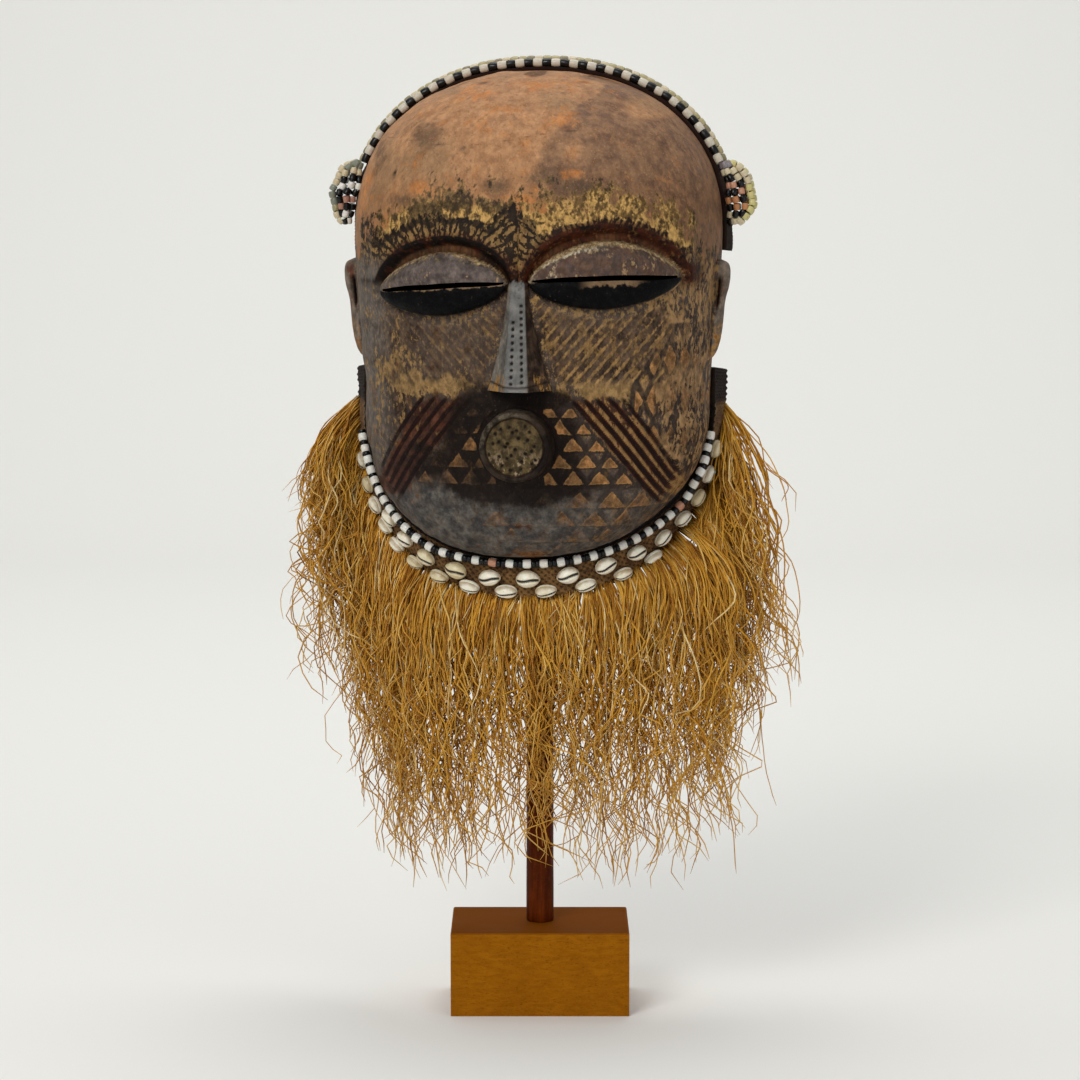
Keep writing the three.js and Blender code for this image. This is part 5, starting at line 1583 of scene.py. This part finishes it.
# %% Cowries
COWRY_LONG, COWRY_WIDE, COWRY_THICK = 15.2, 10.8, 7.4
LOWER_SLIM, LOWER_ROLL = 0.84, radians(30)
UPPER_SHELLS = [(127.8, 7.9), (133.1, 11.4), (138.1, 15.4), (143.5, 16), (149.5, 15.6), (156.2, 13.1),
                (163.4, 12), (171.8, 12.4), (180.5, 12.9), (189.1, 13.4), (196.9, 13.4), (204.3, 14.4),
                (210.4, 13.1), (215.9, 11), (220.8, 20.3), (225.2, 22), (230.2, 22)]
LOWER_SHELLS = [(153.1, 23.2), (160.4, 21.8), (168.5, 20.6), (176.8, 20.6), (185.4, 20.9), (193.4, 21.2),
                (200.4, 22), (206.7, 23.3), (212.1, 23.6), (216.2, 20.4)]


def shell_form():
    """Front and back grids of one cowrie, long axis X, mouth towards +Z, and its marks. A square grid is
    rounded to an egg; the front is a dome with a furrow along the slit and teeth beside it."""
    a = np.linspace(-1, 1, 31)[:, None]
    b = np.sin(np.linspace(-1, 1, 25) * np.pi / 2)[None, :]
    u, v = a * np.sqrt(1 - b * b / 2), b * np.sqrt(1 - a * a / 2)
    ring = np.clip(np.hypot(u, v), 0, 1)
    egg = (1 + 0.12 * u) * (1 - 0.17 * np.abs(u) ** 3)
    x, y = u * COWRY_LONG / 2, v * COWRY_WIDE / 2 * egg
    slit = np.abs(y - 0.55 * np.sin(x * 0.42) - 0.15)
    teeth = np.cos(2 * np.pi * x / 1.15) * np.exp(-((slit - 1.0) / 0.75) ** 2) * (np.abs(u) < 0.86)
    furrow = np.exp(-(slit / 0.78) ** 2) * smooth((0.98 - np.abs(u)) / 0.16)
    dome = np.maximum(1 - ring ** 2.6, 0) ** 0.55
    top = COWRY_THICK * (0.06 + 0.58 * dome) + 0.22 * teeth - 1.5 * furrow + 0.45 * np.exp(
        -((slit - 1.5) / 0.9) ** 2) * dome
    bottom = -COWRY_THICK * 0.36 * np.maximum(1 - ring ** 5, 0) ** 0.5
    front, back = np.stack([x, y, top], -1), np.stack([x, y, bottom], -1)
    return front, back, furrow, teeth, ring


def shell_row(name, places, spread, squeeze, slim, roll, seed):
    """Shells on one row of the jaw band, each at its own angle and place across the band. Those of the
    lower row are slimmer and rolled over towards the hem."""
    front, back, furrow, teeth, ring = shell_form()
    points = np.concatenate([front.reshape(-1, 3), back.reshape(-1, 3)]) * np.array([1, slim, 1])
    quads = faces_out(points, sheet_faces(*front.shape[:2]))
    draw = np.random.default_rng(seed)
    angle, across = np.array(places, float).T
    count = len(angle)
    size = mix(spread[0], spread[1], smooth(np.abs(180 - angle) / squeeze)) * draw.uniform(0.97, 1.05, count)
    low = np.hypot(COWRY_THICK * np.cos(roll), COWRY_WIDE * slim * np.sin(roll)) / 2
    path = jaw_frame(angle)
    centre = line_on(path, across, low * size - 0.6)
    twist = draw.normal(0, 0.13, count)[:, None]
    tilt = draw.normal(-roll, 0.08, count)[:, None]
    flip = np.where(draw.uniform(size=count) > 0.5, 1.0, -1.0)[:, None]
    out = path[3] * np.cos(tilt) - path[2] * np.sin(tilt)
    long_way = path[1] * np.cos(twist) + path[2] * np.sin(twist)
    long_way = unit(long_way - (long_way * out).sum(-1, keepdims=True) * out) * flip
    cross = np.cross(out, long_way)
    scale = size[:, None, None]
    placed = centre[:, None] + scale * (points[None, :, :1] * long_way[:, None] + points[None, :, 1:2]
                                        * cross[:, None] + points[None, :, 2:] * out[:, None])
    made = mesh_object(name, stand_up(placed.reshape(-1, 3)) * MM, repeated(quads, count, len(points)))
    blank = np.zeros(front[..., 0].size)
    for label, value in (("furrow", furrow), ("teeth", teeth), ("ring", ring)):
        mark(made, **{label: np.tile(np.concatenate([value.ravel(), blank]), count)})
    mark(made, lot=np.repeat(draw.uniform(0, 1, count), len(points)))
    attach(made, "root")
    return made


upper_shells = shell_row("upper_cowries", UPPER_SHELLS, (1.0, 0.8), 50, 1.0, 0.0, 71)
lower_shells = shell_row("lower_cowries", LOWER_SHELLS, (0.94, 0.82), 40, LOWER_SLIM, LOWER_ROLL, 72)
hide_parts(*[f"upper_cowry_{k + 1:02d}" for k in range(len(UPPER_SHELLS))])
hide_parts(*[f"lower_cowry_{k + 1:02d}" for k in range(len(LOWER_SHELLS))])


def porcelain():
    """Cream shell, yellower at the rim, each with its own tint; the slit near-black, as painted shade of the
    shell's hollow inside.
    """
    f = Finish("cowry_porcelain")
    lot, cloud, fine = f.read("lot"), f.noise(4.5, 4), f.noise(1.1, 4)
    body = f.lay((238, 232, 212), (214, 200, 160), f.sum("ADD", lot, cloud), 0.75, 1.5)
    body = f.lay(body, (150, 124, 82), f.times(cloud, 0.5, f.read("ring")), 0.95, 1.3, 0.75)
    body = f.lay(body, (168, 146, 108), fine, 0.6, 0.75, 0.45)
    near = f.ramp(f.times(cloud, 0.2, f.read("furrow")), 0.12, 0.4, 0, 0.5)
    body = f.blend(near, body, (150, 118, 74))
    # The slit is painted near-black, as the shade inside the shell's mouth.
    lips = f.ramp(f.times(f.read("teeth"), -0.25, f.read("furrow")), 0.3, 0.55)
    body = f.blend(lips, body, (16, 12, 8))
    rough = f.times(fine, 0.3, 0.2)
    return f.done(Base_Color=body, Roughness=rough, Specular_IOR_Level=0.5, Subsurface_Weight=0.1,
                  Subsurface_Scale=0.002, Normal=f.bump(cloud, 0.25))


shell_finish = porcelain()
for row in (upper_shells, lower_shells):
    row.data.materials.append(shell_finish)
print("shell triangles", triangles(upper_shells) + triangles(lower_shells))

# %% [markdown]
# ## The raffia fringe
# Strips of palm leaf are knotted on the band's outer border, flare out over it and then hang. Dry raffia
# keeps the kinks of the bundle that it was twisted in, so each strand is a falling curve with three
# waves of its own added, which grow towards the free end. Strands stick together in locks, so each
# belongs to a lock that shares the slow part of its path. A strand is a thin three-sided rod.


# %% Strands
FRINGE_LENGTH, FRINGE_THICK = 168.0, 9.0
ALL_ROUND, LOCK_WIDTH = (118.0, 243.5), 2.2
FRINGE_RIGHT = dict(reach=61.0, pace=2.8, draw=0.1, corner=0.58, corner_at=0.53, corner_wide=0.13)
FRINGE_LEFT = dict(reach=43.0, pace=7.0, draw=0.25, corner=0.34, corner_at=0.36, corner_wide=0.1)


def fringe_form(angle):
    """The curtain that the strands follow: its way outwards in plan, reach, pace, draw and length. It
    springs out at the temples, bushes forward a little at the jaw's corners, and hangs below the chin."""
    hem = band_line(jaw_frame, JAW_WIDTH, 0.0)
    ahead = hem(angle + 1) - hem(angle - 1)
    plan = unit(np.stack([-ahead[:, 1], ahead[:, 0], 0 * angle], -1))
    inwards = -plan[:, 1] + plan[:, 0] * hem(angle)[:, 0] * 0.02 < 0
    plan = np.where(inwards[:, None], -plan, plan)
    leftness, from_chin = smooth((angle - 160) / 40), np.abs(180 - angle) / 62

    def side(name):
        return mix(FRINGE_RIGHT[name], FRINGE_LEFT[name], leftness)

    corner = side("corner") * np.exp(-((from_chin - side("corner_at")) / side("corner_wide")) ** 2)
    reach = side("reach") * (mix(0.22, 1.0, smooth((from_chin - 0.78) / 0.22)) + corner)
    pace = mix(13.0, side("pace"), smooth((from_chin - 0.7) / 0.2))
    length = FRINGE_LENGTH + 37 * smooth(from_chin / 0.6) - 36 * smooth((from_chin - 0.6) / 0.4)
    return plan, reach, pace, side("draw"), length


def strand_paths(angle, seed, depth, share, kink, stray, steps):
    """Centre lines, count by steps by 3. depth runs from 0, the strand nearest the stand, to 1, share is
    how much of the curtain's length a strand has, kink how wildly it winds, and stray, in millimetres,
    how far it leaves the curtain."""
    draw = np.random.default_rng(seed)
    count = len(angle)
    plan, reach, pace, pull, length = fringe_form(angle)
    beside = np.stack([-plan[:, 1], plan[:, 0], 0 * angle], -1)
    lock_draw = np.random.default_rng(77).normal(size=(400,
                                                       6))[(np.floor(angle / LOCK_WIDTH) % 400).astype(int)]
    t = np.linspace(0, 1, steps)[None, :] * share[:, None]
    root = line_on(jaw_frame(angle), draw.uniform(23.6, 27.6, count), draw.uniform(-2.6, 0.9, count))
    spread = (1 - np.exp(-pace[:, None] * t)) / (1 - np.exp(-pace[:, None]))
    reach = reach * mix(0.78, 1.05, depth) + 3.0 * lock_draw[:, 1] + stray
    out = reach[:, None] * spread * (1 - pull[:, None] * t * t)
    out = out - (FRINGE_THICK * (1 - depth))[:, None] * smooth(3 * t)
    length = (length + 7 * lock_draw[:, 0])[:, None]
    swing = np.clip(draw.normal(0, 17, count), -34, 34) * mix(1.0, 0.5,
                                                              smooth((np.abs(180 - angle) - 40) / 20))
    sway = (7 * lock_draw[:, 2] + swing)[:, None] * t ** 1.15
    sway = sway + (5 * lock_draw[:, 3] + draw.normal(0, 6, count))[:, None] * np.sin(
        np.pi * t * (1.3 + 0.5 * lock_draw[:, 4:5]))
    wave = np.zeros((count, steps, 3))
    for size, strength in ((95.0, 6.6), (48.0, 4.0), (26.0, 1.5)):
        beat = 2 * np.pi / (size * draw.uniform(0.72, 1.35, count))[:, None]
        phase = draw.uniform(0, 2 * np.pi, (count, 3))
        heading = draw.normal(size=(count, 3)) * np.array([1, 0.8, 0.4])
        amount = strength * kink[:, None] * mix(0.2, 1.0, smooth(1.9 * t))
        for k in range(3):
            wave[:, :, k] += heading[:, k:k + 1] * amount * np.sin(length * t * beat + phase[:, k:k + 1])
    line = (root[:, None] + plan[:, None] * out[..., None] + beside[:, None] * sway[..., None]
            - np.array([0, 0, 1.0]) * (length * t)[..., None])
    return line + wave * smooth(t * 9)[..., None]


def strand_rods(paths, radius, colours):
    """Points, quads, end triangles and marks of three-sided rods along the paths, thinner to the tip."""
    count, steps = paths.shape[:2]
    along = unit(np.gradient(paths, axis=1))
    sideways = unit(np.cross(along, np.array([0.31, 0.92, 0.24])))
    other = np.cross(along, sideways)
    turn = np.arange(3) * 2 * np.pi / 3
    taper = np.linspace(1.0, 0.6, steps)
    taper[0], taper[-1] = 0.7, 0.2
    r = (radius[:, None] * taper)[..., None, None]
    ring = paths[:, :, None] + r * (sideways[:, :, None] * np.cos(turn)[:, None]
                                    + other[:, :, None] * np.sin(turn)[:, None])
    quads = grid_faces(steps, 3, round_columns=True)
    ends = np.array([[0, 1, 2], [(steps - 1) * 3 + 2, (steps - 1) * 3 + 1, (steps - 1) * 3]])
    if (faces_out(ring[0].reshape(-1, 3), quads) != quads).any():
        quads = quads[:, ::-1]
    else:
        ends = ends[:, ::-1]
    return (ring.reshape(-1, 3), repeated(quads, count, steps * 3), repeated(ends, count, steps * 3),
            np.repeat(colours, steps * 3, axis=0), np.tile(np.repeat(np.linspace(0, 1, steps), 3), count))


STRAW = np.array([paint(216, 162, 64), paint(200, 142, 48), paint(228, 186, 104), paint(168, 110, 38),
                  paint(236, 208, 150), paint(140, 88, 32)])


def straw_tones(draw, count):
    """One of six straw colours for each strand, the golden ones the most often."""
    return STRAW[draw.choice(6, count, p=[0.32, 0.26, 0.16, 0.14, 0.05, 0.07])]


REIN_EDGE, REIN_ROOM = (157, 62), 13.0


def reined_in(points, edge, room):
    """Points drawn back softly, by a hyperbolic tangent, where they pass edge in X, or in Y behind."""
    limit = np.array([edge[0], edge[1], 1e6])
    over = np.maximum(np.abs(points) - limit, 0)
    over[..., 1] *= points[..., 1] > 0
    return points - np.sign(points) * (over - room * np.tanh(over / room))


def fringe_piece(name, bundles):
    """One mesh of several bundles. A bundle is a number of strands between two angles, two depths and two
    shares of the length, with its wildness, stray, radius and steps."""
    parts = []
    for seed, count, angles, depths, shares, wild, stray, radius, steps in bundles:
        draw = np.random.default_rng(seed)
        angle = draw.uniform(*angles, count)
        lock = (np.floor(angle / LOCK_WIDTH) + 0.5) * LOCK_WIDTH
        angle = np.clip(mix(angle, lock, 0.2), *ALL_ROUND)
        paths = strand_paths(angle, seed + 5, draw.uniform(*depths, count), draw.uniform(*shares, count),
                             wild * draw.uniform(0.5, 1.4, count), draw.uniform(*stray, count), steps)
        paths = reined_in(stand_up(paths), REIN_EDGE, REIN_ROOM)
        parts.append(strand_rods(paths, radius * draw.uniform(0.78, 1.2, count), straw_tones(draw, count)))
    points, quads, ends, straw, tip = zip(*parts)
    shift = np.cumsum([0] + [len(p) for p in points[:-1]])
    made = mesh_object(name, np.concatenate(points) * MM,
                       np.concatenate([q + k for q, k in zip(quads, shift)]),
                       np.concatenate([e + k for e, k in zip(ends, shift)]))
    mark(made, straw=np.concatenate(straw), tip=np.concatenate(tip))
    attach(made, "root")
    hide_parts("raffia_fringe")
    return made


fringe = [
    fringe_piece("raffia_inner", [
        (81, 500, ALL_ROUND, (0.0, 0.45), (0.5, 1.04), 1.0, (0, 0), 0.6, 27),
        (84, 520, ALL_ROUND, (0.5, 1.0), (0.1, 0.34), 0.9, (-2, 4), 0.55, 10)]),
    fringe_piece("raffia_middle", [
        (82, 500, ALL_ROUND, (0.35, 0.8), (0.4, 1.02), 1.0, (0, 0), 0.6, 27),
        (85, 520, ALL_ROUND, (0.5, 1.0), (0.15, 0.42), 1.0, (-2, 6), 0.55, 10),
        (90, 160, (132, 168), (0.6, 1.0), (0.12, 0.3), 0.8, (-2, 3), 0.6, 10),
        (91, 110, (124, 152), (0.8, 1.0), (0.1, 0.26), 0.7, (-1, 3), 0.62, 10),
        (87, 16, (120, 137), (0.8, 1.0), (0.7, 1.0), 1.5, (8, 22), 0.5, 27),
        (88, 9, (228, 242), (0.8, 1.0), (0.7, 1.05), 1.5, (5, 12), 0.5, 27)]),
    fringe_piece("raffia_outer", [
        (83, 500, ALL_ROUND, (0.7, 1.0), (0.34, 1.0), 1.05, (-2, 3), 0.6, 27),
        (86, 520, ALL_ROUND, (0.6, 1.0), (0.12, 0.4), 1.0, (-2, 6), 0.55, 10),
        (89, 300, (232, 243.5), (0.3, 1.0), (0.2, 0.42), 1.8, (-8, 8), 0.42, 16)]),
]


def dry_raffia():
    """Ochre strips, each with its own tone, fine lengthwise fibres, paler and dustier at the tips."""
    f = Finish("dry_raffia")
    fibre, cloud = f.noise(0.8, 4, stretch=(1, 1, 0.12)), f.noise(14, 4)
    tone = f.lay(f.read("straw", "Color"), (144, 90, 30), cloud, 0.4, 0.66, 0.35)
    tone = f.lay(tone, (228, 184, 96), fibre, 0.5, 0.75, 0.35)
    tone = f.lay(tone, (212, 168, 92), f.read("tip"), 0.55, 1.0, 0.3)
    return f.done(Base_Color=tone, Roughness=0.75, Specular_IOR_Level=0.08, Normal=f.bump(fibre, 0.3))


raffia_finish = dry_raffia()
for piece in fringe:
    piece.data.materials.append(raffia_finish)
print("raffia triangles", [triangles(piece) for piece in fringe])

# %% [markdown]
# ## Rod and block
# The rod is turned hardwood with a dark red varnish. It is a lathe form: a radius that wanders by less
# than a tenth of a millimetre up its height, with an eased top. The block keeps its solid, and only
# gets its stain, and a painted shade on its top, which lies under the mask and the fringe.

# %% Rod
ROD_RADIUS, ROD_LOW, ROD_TOP = 8.7, 53.7, 574.0


def turned_rod():
    """Rows up the rod, columns round it, closed by a point at each end."""
    z = np.concatenate([[ROD_LOW, ROD_LOW], np.linspace(ROD_LOW + 0.4, ROD_TOP - 1.2, 90),
                        [ROD_TOP, ROD_TOP]])
    radius = ROD_RADIUS + 0.04 * np.sin(z / 9.0) + 0.05 * np.sin(z / 31.0)
    radius[[0, -1]] = 0.0
    radius[1], radius[-2] = ROD_RADIUS - 0.3, ROD_RADIUS - 1.2
    sides = 72
    turn = np.arange(sides) * 2 * np.pi / sides
    points = np.stack([radius[:, None] * np.cos(turn), radius[:, None] * np.sin(turn),
                       z[:, None] + 0 * turn], -1)
    faces = grid_faces(len(z), sides, round_columns=True)
    flat = points.reshape(-1, 3) * MM
    made = mesh_object("turned_rod", flat, faces_out(flat, faces))
    close_doubles(made)
    made.data.set_sharp_from_angle(angle=radians(40))
    return made


def varnished_wood(name, dark, light, mottle, shine, gleam, stretch, upright):
    """Grain along one axis, slow clouds of stain, fine pores, and a coat that is thicker in places. Where
    upright is given, faces that look up take that colour as painted shade.
    """
    f = Finish(name)
    grain = f.noise(3.0, 6, 0.62, stretch=stretch, twist=0.4)
    cloud, pore = f.noise(24, 5, 0.6, shift=4.0), f.noise(0.8, 3, stretch=stretch, shift=7.0)
    tone = f.lay(dark, light, grain, 0.34, 0.68)
    tone = f.lay(tone, mottle, cloud, 0.4, 0.66, 0.6)
    tone = f.lay(tone, light, f.noise(1.3, 4, 0.65, shift=2.0), 0.5, 0.66, 0.4)
    tone = f.blend(f.ramp(pore, 0.56, 0.7, 0, 0.45), tone, (0.35, 0.28, 0.22, 1), "MULTIPLY")
    # Painted shade: faces that look up take the darker upright colour.
    if upright is not None:
        up = f.node("SeparateXYZ", {"Vector": f.node("NewGeometry", {}, "Normal")}, "Z")
        tone = f.lay(tone, upright, up, 0.5, 0.9)
    rough = f.times(cloud, 0.3, shine)
    return f.done(Base_Color=tone, Roughness=rough, Specular_IOR_Level=gleam,
                  Normal=f.bump(f.times(pore, 0.4, grain), 0.12))


rod = turned_rod()
rod.data.materials.append(varnished_wood("rod_varnish", (70, 25, 3), (104, 43, 7), (52, 16, 2), 0.3, 0.05,
                                         (1, 1, 0.05), None))
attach(rod, "root")
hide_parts("stand_rod")

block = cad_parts["stand_base"]
block.data.materials.clear()
# The block's top is painted darker, as the shade under the mask and the fringe.
block.data.materials.append(varnished_wood("block_stain", (138, 82, 9), (156, 96, 14), (136, 80, 10), 0.6,
                                           0.02, (0.3, 1, 1), (108, 58, 6)))
print("rod triangles", triangles(rod))
